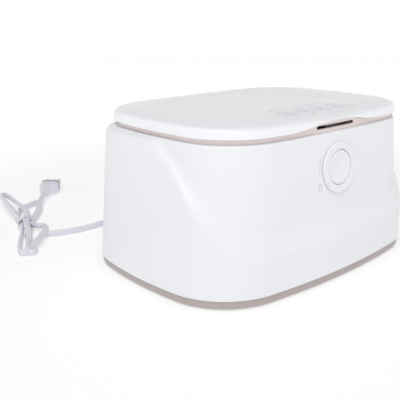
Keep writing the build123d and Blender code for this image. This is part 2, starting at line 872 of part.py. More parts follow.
def lid_cover():
    cover = lid_form(0, 0) - lid_form(lid_wall, lid_wall)
    cover -= slab(top_outline(-lid_wall), lid_bottom - 5, lid_bottom + 2)
    middle = (dish_front + dish_rear) / 2
    dish = RectangleRounded(2 * dish_half_width, dish_rear - dish_front, dish_corner)
    cover -= extrude(Pos(0, middle, lid_top) * dish, -dish_depth, taper=45)
    frame = on_strip(strip_outline(strip_frame), strip_under - strip_frame, -strip_recess)
    cover += frame & lid_form(0.5, 0.5)
    cover -= on_strip(strip_outline(0), strip_under, 5)
    cover -= on_strip(strip_outline(-strip_ledge), strip_under - 4, 5)
    brow = brow_profile(lid_bottom - 5, bezel_top + brow_rise + lid_gap, brow_rise, brow_half_width,
                        base_half_width)
    cover -= front_wall_tool(brow, base_front - 5, tank_front)
    cover -= hinge_notch(lid_bottom - 1, lid_bottom + hinge_notch_rise)
    skin = lid_form(0.5, 0.5)
    bosses = [post(x, y, liner_bottom + liner_thickness, lid_top, post_radius) for x, y in lid_screw_places]
    cover += (Part() + bosses) & skin
    for x, y in lid_screw_places:
        cover -= post(x, y, liner_bottom, liner_bottom + liner_thickness + lid_screw_bite, board_screw_radius)
    return cover


def lid_liner():
    top = liner_bottom + liner_thickness
    liner = slab(top_outline(-liner_inset), liner_bottom, top)
    liner += slab(tank_outline(-dome_inset), liner_bottom - liner_dome_drop, top)
    liner -= slab(tank_outline(-dome_inset - liner_thickness), top - liner_dome_drop, top + 1)
    liner -= hinge_notch(liner_bottom - 1, top + 1)
    liner -= on_strip(key_board_outline(fit_gap), key_board_under - fit_gap, 0)
    for side in (-1, 1):
        for low, high in lid_knuckle_spans:
            centre = side * hinge_x
            rear = hinge_y + knuckle_radius * 0.7
            tongue = block(centre + low, centre + high, hinge_y - 2 * knuckle_radius, rear, liner_bottom, top)
            liner += knuckle(side, low, high) + tongue
            liner += block(centre + low, centre + high, hinge_y - knuckle_radius, rear, hinge_z, top)
    liner -= Pos(0, hinge_y, hinge_z) * Rot(0, 90, 0) * Cylinder(pin_radius + pin_clearance, 3 * hinge_x)
    for x, y in lid_screw_places:
        liner -= post(x, y, liner_bottom - 1, top + 1, board_screw_radius + 0.2)
    return liner


lid_knuckle_spans = [(-hinge_inner + knuckle_gap, -spring_length / 2),
                     (spring_length / 2, hinge_inner - knuckle_gap)]


def lid_screws():
    length = liner_thickness + lid_screw_bite - 0.4
    return Part() + [screw(x, y, liner_bottom, length, board_screw_radius - screw_fit, 2.6)
                     for x, y in lid_screw_places]


def lid_seal():
    middle = mouth_gap + collar_wall / 2
    ring = slab(tank_outline(middle + seal_width / 2), collar_top + seal_gap, liner_bottom)
    ring -= slab(tank_outline(middle - seal_width / 2), collar_top, liner_bottom + 1)
    return ring


def lid_catch():
    rear = catch_front + catch_thickness
    foot = nose_z - fit_gap - catch_lip_height
    half = catch_half_width
    plate = block(-half, half, catch_front, rear, foot, liner_bottom)
    top = foot + catch_lip_height
    lip = make_face(Polyline((rear - 0.5, top), (rear + catch_lip, top),
                             (rear + catch_lip, top - catch_lip_height * 0.4), (rear - 0.5, foot), close=True))
    lip = extrude(Plane.YZ.offset(-half) * lip, 2 * half)
    ribs = [block(x - 0.8, x + 0.8, rear, rear + 4, liner_bottom - 4, liner_bottom)
            for x in (0.8 - half, half - 0.8)]
    return plate + lip + ribs


def control_strip():
    strip = on_strip(strip_outline(-fit_gap / 2), strip_under, -strip_recess)
    for x in key_places:
        strip -= strip_plane * Pos(x, 0, -strip_recess) * Cylinder(key_radius + key_gap, 4 * strip_thickness)
    return strip


def key(x):
    top = key_proud - strip_recess
    flange_top = strip_under - key_flange_gap
    flange_under = flange_top - key_flange_thickness
    cap = Pos(0, 0, (top + flange_top) / 2) * Cylinder(key_radius, top - flange_top)
    cap = fillet(cap.edges().group_by(Axis.Z)[-1], 0.35)
    flange_middle = (flange_top + flange_under) / 2
    cap += Pos(0, 0, flange_middle) * Cylinder(key_radius + key_flange, key_flange_thickness)
    cap += Pos(0, 0, flange_under - key_pip / 2) * Cylinder(1.2, key_pip)
    return strip_plane * Pos(x, 0, 0) * cap


switch_top = strip_under - key_flange_gap - key_flange_thickness - key_pip - key_travel - switch_gap
key_board_top = switch_top - switch_height
key_board_under = key_board_top - key_board_thickness


def key_board_outline(margin):
    half_length = strip_half_length - strip_ledge - 1 + margin
    return RectangleRounded(2 * half_length, key_board_width + 2 * margin, 2)


def key_board():
    board = on_strip(key_board_outline(0), key_board_under, key_board_top)
    for x in key_places:
        board += strip_plane * Pos(x, 0, key_board_top + switch_height / 2) * Box(4.5, 4.5, switch_height)
    for x in (-hanger_x, hanger_x):
        hanger = Cylinder(hanger_radius, strip_under - key_board_top)
        board += strip_plane * Pos(x, 0, (key_board_top + strip_under) / 2) * hanger
    return board


# ---- lock ring, button and latch ----

def lock_ring():
    outline = make_face(Polyline(
        (ring_bore, 0.15), (ring_bore, ring_proud - 0.5), (ring_bore + 0.5, ring_proud),
        (ring_radius - 1.2, ring_proud), (ring_radius, ring_proud - 1.2), (ring_radius, 0.15),
        (barrel_radius, 0.15), (barrel_radius, -barrel_depth), (ring_bore, -barrel_depth), close=True))
    ring = revolve(Plane.XZ * outline, Axis.Z)
    groove = revolve(Plane.XZ * Pos(ring_radius - 3.0, ring_proud + 1.6) * Circle(2.0), Axis.Z)
    pip = Pos(0, 0, ring_proud) * Box(1.2, 3.0, 0.8)
    pip = Rot(0, 0, pip_angle) * Pos(0, (ring_radius + ring_bore) / 2, 0) * pip
    return knob_plane * (ring - groove + pip)


def lock_cam():
    """Washer that holds the ring from inside, with two arms that reach behind the button's lugs."""
    high = -wall - cam_gap
    low = high - cam_thickness
    washer = Cylinder(cam_arm_radius, cam_thickness) - Cylinder(barrel_radius, 9)
    washer = Pos(0, 0, (low + high) / 2) * washer
    hook_top = -barrel_depth - lug_thickness - button_travel - 2 * fit_gap
    hook_under = hook_top - hook_thickness
    arms = []
    for angle in (-lock_angle / 2, 180 - lock_angle / 2):
        arm = Pos(cam_arm_radius - 0.9, 0, (high + hook_under) / 2) * Box(1.8, hook_width, high - hook_under)
        hook = Box(4.4, hook_width, hook_thickness)
        hook = Pos(cam_arm_radius - 2.2, 0, hook_top - hook_thickness / 2) * hook
        arms.append(Rot(0, 0, angle) * (arm + hook))
    trim = Cylinder(cam_arm_radius, 60)
    return knob_plane * (washer + [arm & trim for arm in arms])


def release_button():
    front = ring_proud - button_recess
    back = -barrel_depth - fit_gap
    cap = Pos(0, 0, (front + back) / 2) * Cylinder(ring_bore - knob_gap, front - back)
    cap = fillet(cap.edges().group_by(Axis.Z)[-1], 0.6)
    dish_sphere = (button_dish_radius ** 2 + button_dish ** 2) / (2 * button_dish)
    cap -= Pos(0, 0, front - button_dish + dish_sphere) * Sphere(dish_sphere)
    hollow = Cylinder(ring_bore - button_wall, front - back - button_wall) - Cylinder(stem_radius + 1.5, 9)
    cap -= Pos(0, 0, (front + back - button_wall) / 2) * hollow
    lugs = []
    for angle in (lock_angle / 2, 180 + lock_angle / 2):
        lug = Pos(lug_radius / 2 + 4, 0, back - lug_thickness / 2) * Box(lug_radius, lug_width, lug_thickness)
        lugs.append(Rot(0, 0, angle) * lug)
    rim = Cylinder(ring_bore - knob_gap, lug_thickness) - Cylinder(ring_bore - button_wall, 9)
    rim = Pos(0, 0, back - lug_thickness / 2) * rim
    trim = Cylinder(lug_radius, 60) - Cylinder(ring_bore - button_wall + 0.5, 60)
    stem_end = -(latch_front - wall_y) / cos(knob_lean) + 0.5
    stem_top = front - button_dish - 1
    stem = Pos(0, 0, (stem_top + stem_end) / 2) * Cylinder(stem_radius, stem_top - stem_end)
    return knob_plane * (cap + rim + [lug & trim for lug in lugs] + stem)


nose_tip = catch_front + catch_thickness + catch_lip + fit_gap
latch_bottom = knob_z - 8
tongue_reach = latch_half_width + guide_wall + fit_gap


def latch_slider():
    """Upright plate pushed back by the button; its nose stops short of the catch, so the lid can pass."""
    rear = latch_front + latch_thickness
    top = nose_z + nose_height
    plate = block(-latch_half_width, latch_half_width, latch_front, rear, latch_bottom, nose_z)
    nose = make_face(Polyline((rear, nose_z - 1), (nose_tip, nose_z), (nose_tip, nose_z + 0.6),
                              (rear - 0.8, top), (rear, top), close=True))
    nose = extrude(Plane.YZ.offset(-latch_half_width + 1) * nose, 2 * latch_half_width - 2)
    tongues = block(-tongue_reach, tongue_reach, latch_front, rear, knob_z - tongue_height, knob_z)
    peg = Cylinder(latch_spring_radius - latch_spring_wire - 0.4, 1.2)
    peg = Pos(0, rear + 0.6, knob_z - 2) * Rot(90, 0, 0) * peg
    return plate + nose + tongues + peg


def latch_cage():
    """Guide for the latch: two cheeks and a back plate, hung by its ears from the deck's posts."""
    inner = latch_half_width + fit_gap
    outer = inner + guide_wall
    front = latch_front + 0.5
    bottom = knob_z - cage_drop
    ear_reach = latch_post_x + boss_radius
    cage = block(-outer, outer, cage_rear - 1.4, cage_rear, bottom, cage_top)
    cage += block(-outer, outer, front, cage_rear, bottom, bottom + 1.6)
    cheeks = block(-outer, outer, front, cage_rear, bottom, cage_top)
    cheeks -= block(-inner, inner, front - 1, cage_rear + 1, bottom - 1, cage_top + 1)
    track_rear = latch_front + latch_thickness + button_travel + fit_gap
    cheeks -= block(-outer - 1, outer + 1, front - 1, track_rear,
                    knob_z - tongue_height - fit_gap, knob_z + fit_gap)
    ears = block(-ear_reach, ear_reach, latch_post_y - boss_radius, latch_post_y + boss_radius,
                 cage_top - 2.4, cage_top)
    ears -= block(-inner, inner, base_front, tank_front, cage_top - 3, cage_top + 1)
    cage += [cheeks, ears]
    for x in (-latch_post_x, latch_post_x):
        cage -= post(x, latch_post_y, cage_top - 4, cage_top + 1, screw_radius + 0.2)
    return cage


def latch_screws():
    return Part() + [screw(side * latch_post_x, latch_post_y, cage_top - 2.4, 2.4 + latch_screw_bite - 1)
                     for side in (-1, 1)]


def latch_spring():
    """Conical spring that nests as the latch is pushed back."""
    front = latch_front + latch_thickness + latch_spring_wire
    back = cage_rear - 1.4 - latch_spring_wire
    coil = Helix(pitch=(back - front) / latch_spring_turns, height=back - front, radius=latch_spring_radius,
                 cone_angle=latch_spring_cone)
    coil = Pos(0, front, knob_z - 2) * Rot(-90, 0, 0) * coil
    return sweep(Plane(coil @ 0, z_dir=coil % 0) * Circle(latch_spring_wire - 0.02), path=coil)


# ---- mains lead ----

boot_tip_y = exit_wall_y + boot_length
lead_start = (cord_exit_x, boot_tip_y, cord_exit_z)


def strain_relief():
    """Moulded boot: collar inside the wall, neck in its hole, ribbed taper outside and a stub to the clamp."""
    rear = -wall - boot_seat_gap
    outline = make_face(Polyline(
        (0, rear - boot_collar), (boot_radius + boot_collar_reach, rear - boot_collar),
        (boot_radius + boot_collar_reach, rear), (boot_groove_radius - 0.2, rear),
        (boot_groove_radius - 0.2, boot_seat_gap), (boot_radius, boot_seat_gap), (boot_radius, boot_shoulder),
        (boot_tip_radius, boot_length), (0, boot_length), close=True))
    boot = revolve(Plane.XZ * outline, Axis.Z)
    for k in range(boot_ribs):
        place = Pos(0, 0, boot_shoulder + 3 + k * boot_groove_pitch)
        cut = place * (Cylinder(9, boot_groove) - Cylinder(boot_tip_radius - boot_clear_depth, 9))
        boot -= cut - place * Rot(0, 0, 90 * (k % 2)) * Box(20, 2 * boot_tip_radius, 9)
    stub_end = clamp_y - 6 - exit_wall_y
    stub = Pos(0, 0, (rear + stub_end) / 2) * Box(cord_width, cord_thickness, rear - stub_end)
    place = Plane(origin=(cord_exit_x, exit_wall_y, cord_exit_z), x_dir=(1, 0, 0), z_dir=(0, 1, 0))
    return place * (boot + stub)


def cord_clamp():
    bar = block(clamp_posts[0] - 4, clamp_posts[1] + 4, clamp_y - 3.5, clamp_y + 3.5,
                cord_exit_z + cord_thickness / 2, cord_exit_z + cord_thickness / 2 + 2)
    for x in clamp_posts:
        bar += Pos(x, clamp_y, cord_exit_z) * Cylinder(post_radius, cord_thickness)
        bar -= post(x, clamp_y, cord_exit_z - 3, cord_exit_z + 9, board_screw_radius + 0.2)
    return bar


def clamp_screws():
    heads = []
    top = cord_exit_z + cord_thickness / 2 + 2
    for x in clamp_posts:
        head = post(x, clamp_y, top, top + 1.3, 2.7)
        head = fillet(head.edges().group_by(Axis.Z)[-1], 0.5)
        shank = post(x, clamp_y, board_z - 3, top, board_screw_radius - screw_fit)
        heads.append(head + shank - Pos(x, clamp_y, top + 1.3) * (Box(3, 0.6, 1) + Box(0.6, 3, 1)))
    return Part() + heads


def route_radii(points):
    """Arc radius at each corner: 0.45 of the shorter run over the tangent of half the turn."""
    radii = []
    for before, here, after in zip(points, points[1:], points[2:]):
        back, ahead = Vector(*here) - Vector(*before), Vector(*after) - Vector(*here)
        radii.append(0.45 * min(back.length, ahead.length) / tan(radians(back.get_angle(ahead)) / 2))
    return radii


def cord_tube(name, points):
    radii = route_radii(points)
    path = FilletPolyline(*points, radius=radii)
    tube = sweep(Plane(path @ 0, z_dir=path % 0) * Circle(cord_width / 2), path=path)
    ideal = pi * (cord_width / 2) ** 2 * path.length
    print(name, "radii", [round(r, 1) for r in radii], "length", round(path.length, 1),
          "volume share", round(tube.volume / ideal, 4))
    return tube


def power_cord():
    return cord_tube("power_cord", [lead_start, *lead_bends])


def along_plug(reach):
    """Point on the plug's axis, measured forward from its centre."""
    x, y, z = plug_centre
    return (x + reach * cos(radians(plug_heading)), y + reach * sin(radians(plug_heading)), z)


plug_plane = Plane(origin=plug_centre, x_dir=(0, 0, 1),
                   z_dir=(cos(radians(plug_heading)), sin(radians(plug_heading)), 0))
plug_tail = -plug_length / 2 - plug_neck_length


def plug_lead():
    end = along_plug(plug_tail)
    bend = along_plug(plug_tail - plug_lead_run)
    turned, fall = radians(plug_heading + plug_lead_turn), radians(plug_lead_fall)
    level = plug_lead_run * cos(fall)
    start = (bend[0] - level * cos(turned), bend[1] - level * sin(turned),
             bend[2] - plug_lead_run * sin(fall))
    return cord_tube("plug_lead", [start, bend, end])


waist_plane = Plane(origin=(*hank_waist, 0), z_dir=(0, 0, 1),
                    x_dir=(cos(radians(hank_axis)), sin(radians(hank_axis)), 0))


def waist_block(length, half_width, low, high):
    return waist_plane * block(-length / 2, length / 2, -half_width, half_width, low, high)


def cord_hank():
    bow = slab(make_face(Spline(hank_outline, periodic=True)), 0, hank_height)
    groove = tie_width + 2 * fit_gap
    keep = waist_block(groove + 2, waist_half_width, waist_lift, waist_lift + waist_height)
    return bow - (waist_block(groove, 3 * waist_half_width, -1, hank_height + 1) - keep)


def cord_tie():
    top = waist_lift + waist_height + fit_gap
    band = waist_block(tie_width, waist_half_width + fit_gap + tie_thickness, 0, top + tie_thickness)
    return band - waist_block(tie_width + 2, waist_half_width + fit_gap, tie_thickness, top)


def plug_body():
    shoulder = plug_length / 2 - (plug_length - plug_shoulder)
    rear = -plug_length / 2
    sections = [
        Pos(0, 0, rear) * RectangleRounded(plug_rear_height, plug_rear_width, plug_corner),
        Pos(0, 0, shoulder) * RectangleRounded(plug_height, plug_width, plug_corner),
        Pos(0, 0, plug_length / 2) * RectangleRounded(plug_height, plug_width, plug_corner),
    ]
    body = loft(sections, ruled=True)
    body = fillet(body.edges().group_by(Axis.Z)[-1], 1.0)
    neck = Pos(0, 0, rear - plug_neck_length / 2) * Cone(plug_tip_radius, plug_neck_radius, plug_neck_length)
    for k in range(3):
        place = Pos(0, 0, rear - 4 - k * boot_groove_pitch)
        cut = Cylinder(9, boot_groove) - Cylinder(plug_tip_radius - boot_clear_depth, 9)
        neck -= place * (cut - Rot(0, 0, 90 * (k % 2)) * Box(20, 2 * plug_tip_radius, 9))
    for side in (-1, 1):
        for k in range(3):
            place = Pos(0, side * (plug_width / 2 + 0.4), shoulder + 3 + k * 2.6)
            body -= place * Rot(0, 90, 0) * Cylinder(1.0, plug_height * 0.7)
    return plug_plane * (body + neck)


def plug_blades():
    blades = Part()
    for side in (-1, 1):
        blade = Pos(0, side * blade_pitch / 2, (plug_length + blade_length) / 2)
        blade *= Box(blade_height, blade_thickness, blade_length)
        blade = chamfer(blade.edges().group_by(Axis.Z)[-1], blade_thickness / 3)
        hole = Pos(0, side * blade_pitch / 2, plug_length / 2 + blade_length - 4) * Rot(90, 0, 0)
        blades += blade - hole * Cylinder(blade_hole, 4 * blade_thickness)
    return plug_plane * blades


# ---- every piece, written to its own file ----

feet = corners(foot_x, -foot_y, foot_y)
pieces = {
    "body_shell": body_shell(), "base_plate": base_plate(), "base_screws": base_screws(),
    "wipe_tank": wipe_tank(), "warming_plate": warming_plate(), "heater_mat": heater_mat(),
    "heater_felt": heater_felt(), "heater_retainer": heater_retainer(), "heater_screws": heater_screws(),
    "thermal_cutoff": thermal_cutoff(), "thermistor": thermistor(), "main_board": main_board(),
    "power_module": power_module(), "board_relay": board_relay(), "board_capacitor": board_capacitor(),
    "terminal_block": terminal_block(), "board_screws": board_screws(), "heater_leads": heater_leads(),
    "mains_leads": mains_leads(), "strain_relief": strain_relief(), "cord_clamp": cord_clamp(),
    "clamp_screws": clamp_screws(), "top_bezel": top_bezel(), "latch_cage": latch_cage(),
    "latch_screws": latch_screws(), "latch_spring": latch_spring(), "lock_ring": lock_ring(),
    "lock_cam": lock_cam(), "release_button": release_button(), "latch_slider": latch_slider(),
    "lid_cover": lid_cover(), "lid_liner": lid_liner(), "lid_seal": lid_seal(), "lid_catch": lid_catch(),
    "lid_screws": lid_screws(), "control_strip": control_strip(), "key_board": key_board(),
    "power_cord": power_cord(), "cord_hank": cord_hank(), "cord_tie": cord_tie(),
    "plug_lead": plug_lead(), "plug_body": plug_body(), "plug_blades": plug_blades(),
}
for name, (x, y) in zip(("rubber_foot_front_left", "rubber_foot_rear_left",
                         "rubber_foot_front_right", "rubber_foot_rear_right"), feet):
    pieces[name] = rubber_foot(x, y)
for name, side in (("left", -1), ("right", 1)):
    pieces["hinge_pin_" + name] = hinge_pin(side)
    pieces["lid_spring_" + name] = lid_spring(side)
for name, x in zip(key_names, key_places):
    pieces[name] = key(x)

os.makedirs("parts", exist_ok=True)
for name, piece in pieces.items():
    export_step(piece, os.path.join("parts", name + ".step"))
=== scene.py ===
import json
from math import atan, atan2, cos, pi, radians, sin, sqrt

import bmesh
import bpy
from mathutils import Matrix, Vector


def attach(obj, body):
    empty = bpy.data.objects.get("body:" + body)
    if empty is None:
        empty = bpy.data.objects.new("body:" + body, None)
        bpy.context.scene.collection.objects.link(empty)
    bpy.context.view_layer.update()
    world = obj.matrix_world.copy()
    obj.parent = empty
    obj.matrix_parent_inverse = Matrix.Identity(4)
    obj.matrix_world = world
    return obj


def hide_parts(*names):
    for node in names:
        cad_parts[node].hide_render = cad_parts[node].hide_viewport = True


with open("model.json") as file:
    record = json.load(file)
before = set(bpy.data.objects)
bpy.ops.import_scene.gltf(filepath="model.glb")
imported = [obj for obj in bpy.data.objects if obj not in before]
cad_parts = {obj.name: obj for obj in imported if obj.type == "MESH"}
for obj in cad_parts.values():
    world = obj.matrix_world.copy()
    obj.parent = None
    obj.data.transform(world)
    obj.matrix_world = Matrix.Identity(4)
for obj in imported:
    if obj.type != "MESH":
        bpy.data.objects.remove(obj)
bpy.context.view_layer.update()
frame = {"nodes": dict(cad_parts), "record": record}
nodes = frame["nodes"]
scene = bpy.context.scene
scene.view_settings.view_transform = "Standard"
mm = 0.001  # sizes below are in millimetres, meshes in metres

sharpFrom = 32  # angle between two faces, in degrees, from which their edge is left sharp


class Flow:
    # one output of a node, which can be added, scaled and so on
    def __init__(self, maker, socket):
        self.maker, self.socket = maker, socket

    def worked(self, operation, first, second):
        return self.maker.node("ShaderNodeMath", {"operation": operation}, {0: first, 1: second})

    def __add__(self, other):
        return self.worked("ADD", self, other)

    def __radd__(self, other):
        return self.worked("ADD", other, self)

    def __sub__(self, other):
        return self.worked("SUBTRACT", self, other)

    def __rsub__(self, other):
        return self.worked("SUBTRACT", other, self)

    def __mul__(self, other):
        return self.worked("MULTIPLY", self, other)

    def __rmul__(self, other):
        return self.worked("MULTIPLY", other, self)


class Maker:
    # adds nodes to a tree; each value is a number or the flow from another node
    def node(self, kind, settings=None, values=None, out=0):
        made = self.tree.nodes.new(kind)
        for name, value in (settings or {}).items():
            setattr(made, name, value)
        for key, value in (values or {}).items():
            self.give(made.inputs[key], value)
        return Flow(self, made.outputs[out])

    def give(self, socket, value):
        if isinstance(value, Flow):
            self.tree.links.new(value.socket, socket)
        else:
            socket.default_value = value


class Finish(Maker):
    def __init__(self, name):
        self.material = bpy.data.materials.new(name)
        self.material.use_nodes = True
        self.tree = self.material.node_tree
        self.shader = self.tree.nodes["Principled BSDF"]
        self.place = self.node("ShaderNodeTexCoord", out="Object")

    def shade(self, **values):
        for name, value in values.items():
            self.give(self.shader.inputs[name.replace("_", " ")], value)

    def noise(self, scale, detail):
        return self.node("ShaderNodeTexNoise", None, {"Vector": self.place, "Scale": scale, "Detail": detail})

    def blend(self, share, first, second):
        return self.node("ShaderNodeMix", {"data_type": "RGBA"}, {0: share, 6: first, 7: second}, out=2)

    def relief(self, height, depth, edge):
        # a fine bump on top of softened edges
        soft = self.node("ShaderNodeBevel", {"samples": 6}, {"Radius": edge})
        values = {"Height": height, "Distance": depth, "Strength": 1.0, "Normal": soft}
        self.shade(Normal=self.node("ShaderNodeBump", None, values))


def tone(red, green, blue):
    # screen colour, 0 to 255, as a linear colour
    parts = [value / 255 for value in (red, green, blue)]
    return tuple(v / 12.92 if v <= 0.04045 else ((v + 0.055) / 1.055) ** 2.4 for v in parts) + (1.0,)


# what plastics and metals start from; the grain's depth and the width of soft edges are in metres
plasticLook = {"cloudScale": 14.0, "cloudDetail": 3.0, "cloudRough": 0.1, "grainScale": 2600.0, "grainDetail": 2.0,
               "grainRough": 0.08, "grainDepth": 0.00001, "edge": 0.0005, "shine": 0.4}
metalLook = {"detail": 4.0, "brushRough": 0.2, "depth": 0.00002, "edge": 0.0002}
thinEdge = 0.00005  # for pieces that are too thin for the usual edge


def mouldedPlastic(name, look):
    # slow clouds between two close tones, and a fine grain
    look = {**plasticLook, **look}
    finish = Finish(name)
    cloud = finish.noise(look["cloudScale"], look["cloudDetail"])
    grain = finish.noise(look["grainScale"], look["grainDetail"])
    finish.shade(Base_Color=finish.blend(cloud, look["colour"], look["shade"]), Specular_IOR_Level=look["shine"])
    finish.shade(Roughness=look["rough"] + (cloud - 0.5) * look["cloudRough"] + (grain - 0.5) * look["grainRough"])
    finish.relief(grain, look["grainDepth"], look["edge"])
    return finish.material


def metal(name, look):
    # brushed, between two close tones
    look = {**metalLook, **look}
    finish = Finish(name)
    brushed = finish.noise(look["scale"], look["detail"])
    finish.shade(Base_Color=finish.blend(brushed, look["colour"], look["shade"]), Metallic=1.0)
    finish.shade(Roughness=look["rough"] + (brushed - 0.5) * look["brushRough"])
    finish.relief(brushed, look["depth"], look["edge"])
    return finish.material


# finishes by the names of their slots
finishLooks = {
    "white_plastic": {"colour": tone(236, 237, 240), "shade": tone(232, 233, 236), "rough": 0.36},
    "taupe_plastic": {"colour": tone(180, 170, 168), "shade": tone(174, 164, 162), "rough": 0.42},
    "grey_plastic": {"colour": tone(176, 176, 178), "shade": tone(168, 168, 170), "rough": 0.45},
    "key_white": {"colour": tone(232, 233, 238), "shade": tone(226, 227, 233), "rough": 0.32},
    "rubber_grey": {"colour": tone(120, 120, 122), "shade": tone(104, 104, 106), "rough": 0.75,
                    "grainDepth": 0.00003},
    "seal_rubber": {"colour": tone(206, 206, 208), "shade": tone(196, 196, 198), "rough": 0.6},
    "white_vinyl": {"colour": tone(226, 226, 234), "shade": tone(217, 217, 226), "rough": 0.38},
    "silicone_mat": {"colour": tone(196, 92, 58), "shade": tone(180, 80, 50), "rough": 0.6},
    "felt_pad": {"colour": tone(222, 222, 216), "shade": tone(196, 196, 190), "rough": 0.95,
                 "grainScale": 1500.0, "grainDepth": 0.0002},
    "board_green": {"colour": tone(34, 96, 58), "shade": tone(28, 84, 50), "rough": 0.4},
    "part_black": {"colour": tone(36, 36, 38), "shade": tone(26, 26, 28), "rough": 0.45},
    "relay_blue": {"colour": tone(40, 92, 168), "shade": tone(34, 82, 152), "rough": 0.4},
    "terminal_green": {"colour": tone(60, 148, 84), "shade": tone(52, 132, 74), "rough": 0.45},
    "lead_black": {"colour": tone(44, 44, 46), "shade": tone(32, 32, 34), "rough": 0.5},
}
metalLooks = {
    "aluminium_sheet": {"colour": tone(206, 208, 210), "shade": tone(186, 188, 190), "rough": 0.38, "scale": 260.0},
    "steel_screw": {"colour": tone(186, 188, 192), "shade": tone(160, 162, 166), "rough": 0.32, "scale": 900.0},
    "spring_steel": {"colour": tone(176, 178, 182), "shade": tone(150, 152, 156), "rough": 0.3, "scale": 900.0},
    "plug_brass": {"colour": tone(206, 206, 204), "shade": tone(184, 184, 182), "rough": 0.26, "scale": 700.0},
}
finishes = {name: mouldedPlastic(name.replace("_", " "), look) for name, look in finishLooks.items()}
finishes.update({name: metal(name.replace("_", " "), look) for name, look in metalLooks.items()})
for part in frame["record"]["subparts"]:
    slots = nodes[part["node"]].data.materials
    slots.clear()
    slots.append(finishes[part["material_slot"]])
# nodes with a finish of their own
nodeLooks = {
    # painted light: the bezel gets a lighter copy of the taupe plastic, to make up for the shade that the lid's
    # overhang casts on it
    "top_bezel": {"colour": tone(236, 224, 221), "shade": tone(230, 218, 215), "rough": 0.42},
    "control_strip": {"colour": tone(240, 241, 244), "shade": tone(237, 238, 241), "rough": 0.34},
    # painted shade: the catch behind the slot is made dark grey so that the slot reads as a dark hole, standing in
    # for the shadow inside it
    "lid_catch": {"colour": tone(112, 112, 116), "shade": tone(102, 102, 106), "rough": 0.5},
}
for name, look in nodeLooks.items():
    nodes[name].data.materials[0] = mouldedPlastic(name.replace("_", " ") + " plastic", look)
print("finishes:", len(finishes))


def shown(name, data):
    made = bpy.data.objects.new(name, data)
    scene.collection.objects.link(made)
    return made


# place and lens in millimetres, turns in degrees
cameraLook = {"eye": (-362.63, -355.44, 195.67), "turn": -43.08, "tilt": 14.80, "roll": -0.16,
              "lens": 57.42, "shift": (-0.0750, -0.0616)}
cameraData = bpy.data.cameras.new("camera")
cameraData.lens = cameraLook["lens"]
cameraData.sensor_width = 36.0
cameraData.shift_x, cameraData.shift_y = cameraLook["shift"]
cameraObject = shown("camera", cameraData)
facing = Matrix.Rotation(radians(cameraLook["turn"]), 3, "Z")
facing = facing @ Matrix.Rotation(radians(90 - cameraLook["tilt"]), 3, "X")
facing = facing @ Matrix.Rotation(radians(cameraLook["roll"]), 3, "Z")
cameraObject.rotation_euler = facing.to_euler()
cameraObject.location = Vector(cameraLook["eye"]) * mm
scene.camera = cameraObject

lightLook = {
    "skyPower": 0.41, "aim": (0, 0, 60),
    # name, place, width and power in watts
    "lamps": [("keyLight", (-920, -771, 2078), 1300, 27.5), ("sideLight", (1158, -1158, 1147), 1000, 1.0)],
}
sky = bpy.data.worlds.new("sky")
sky.use_nodes = True
sky.node_tree.nodes["Background"].inputs["Color"].default_value = (1.0, 1.0, 1.0, 1.0)
sky.node_tree.nodes["Background"].inputs["Strength"].default_value = lightLook["skyPower"]
scene.world = sky
for name, spot, size, power in lightLook["lamps"]:
    lampData = bpy.data.lights.new(name, "AREA")
    lampData.size = size * mm
    lampData.energy = power
    lamp = shown(name, lampData)
    lamp.location = Vector(spot) * mm
    lamp.rotation_euler = (Vector(lightLook["aim"]) - Vector(spot)).to_track_quat("-Z", "Y").to_euler()


def softened(mesh):
    # shades the faces smoothly, but for the edges where they meet steeply
    mesh.polygons.foreach_set("use_smooth", [True] * len(mesh.polygons))
    mesh.set_sharp_from_angle(angle=radians(sharpFrom))
    return mesh


def meshObject(name, points, faces):
    mesh = bpy.data.meshes.new(name)
    mesh.from_pydata([Vector(point) * mm for point in points], [], faces)
    softened(mesh).update()
    return shown(name, mesh)


def finished(piece, body, slotName, *replaced, finish=None):
    piece.data.materials.clear()
    piece.data.materials.append(finish or finishes[slotName])
    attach(piece, body)
    if replaced:
        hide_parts(*replaced)
    return piece


def joined(rings, closed=False, capped=False):
    # faces between rings of equal length; each ring runs anticlockwise seen from where the rings head
    count = len(rings[0])
    points = [point for ring in rings for point in ring]
    pairs = list(zip(range(len(rings)), range(1, len(rings)))) + ([(len(rings) - 1, 0)] if closed else [])
    faces = [(low * count + k, low * count + (k + 1) % count, high * count + (k + 1) % count, high * count + k)
             for low, high in pairs for k in range(count)]
    if capped:
        faces += [tuple(reversed(range(count))), tuple(range(len(points) - count, len(points)))]
    return points, faces


def carved(piece, *cutters):
    # takes the cutters' shapes out of a piece and leaves it a plain mesh
    for cutter in cutters:
        cut = piece.modifiers.new("cut", "BOOLEAN")
        cut.operation, cut.solver, cut.object = "DIFFERENCE", "EXACT", cutter
    plain(piece)
    for cutter in cutters:
        bpy.data.objects.remove(cutter)
    return piece


def plain(piece):
    # the piece as its modifiers leave it, without them
    bpy.context.view_layer.update()
    done = bpy.data.meshes.new_from_object(piece.evaluated_get(bpy.context.evaluated_depsgraph_get()))
    piece.modifiers.clear()
    piece.data = softened(done)
    return piece


def latheRings(profile, steps, place):
    # rings round the axis for each (radius, height) of a profile, mapped by place
    turns = [2 * pi * k / steps for k in range(steps)]
    return [[place(radius * cos(a), radius * sin(a), height) for a in turns] for radius, height in profile]


def roundedBox(halfX, halfY, corner, steps=6):
    # anticlockwise outline of a rounded oblong, as (x, y)
    spots = [(halfX - corner, halfY - corner, 0), (corner - halfX, halfY - corner, 90),
             (corner - halfX, corner - halfY, 180), (halfX - corner, corner - halfY, 270)]
    return [(x + corner * cos(radians(start + 90 * k / steps)), y + corner * sin(radians(start + 90 * k / steps)))
            for x, y, start in spots for k in range(steps + 1)]


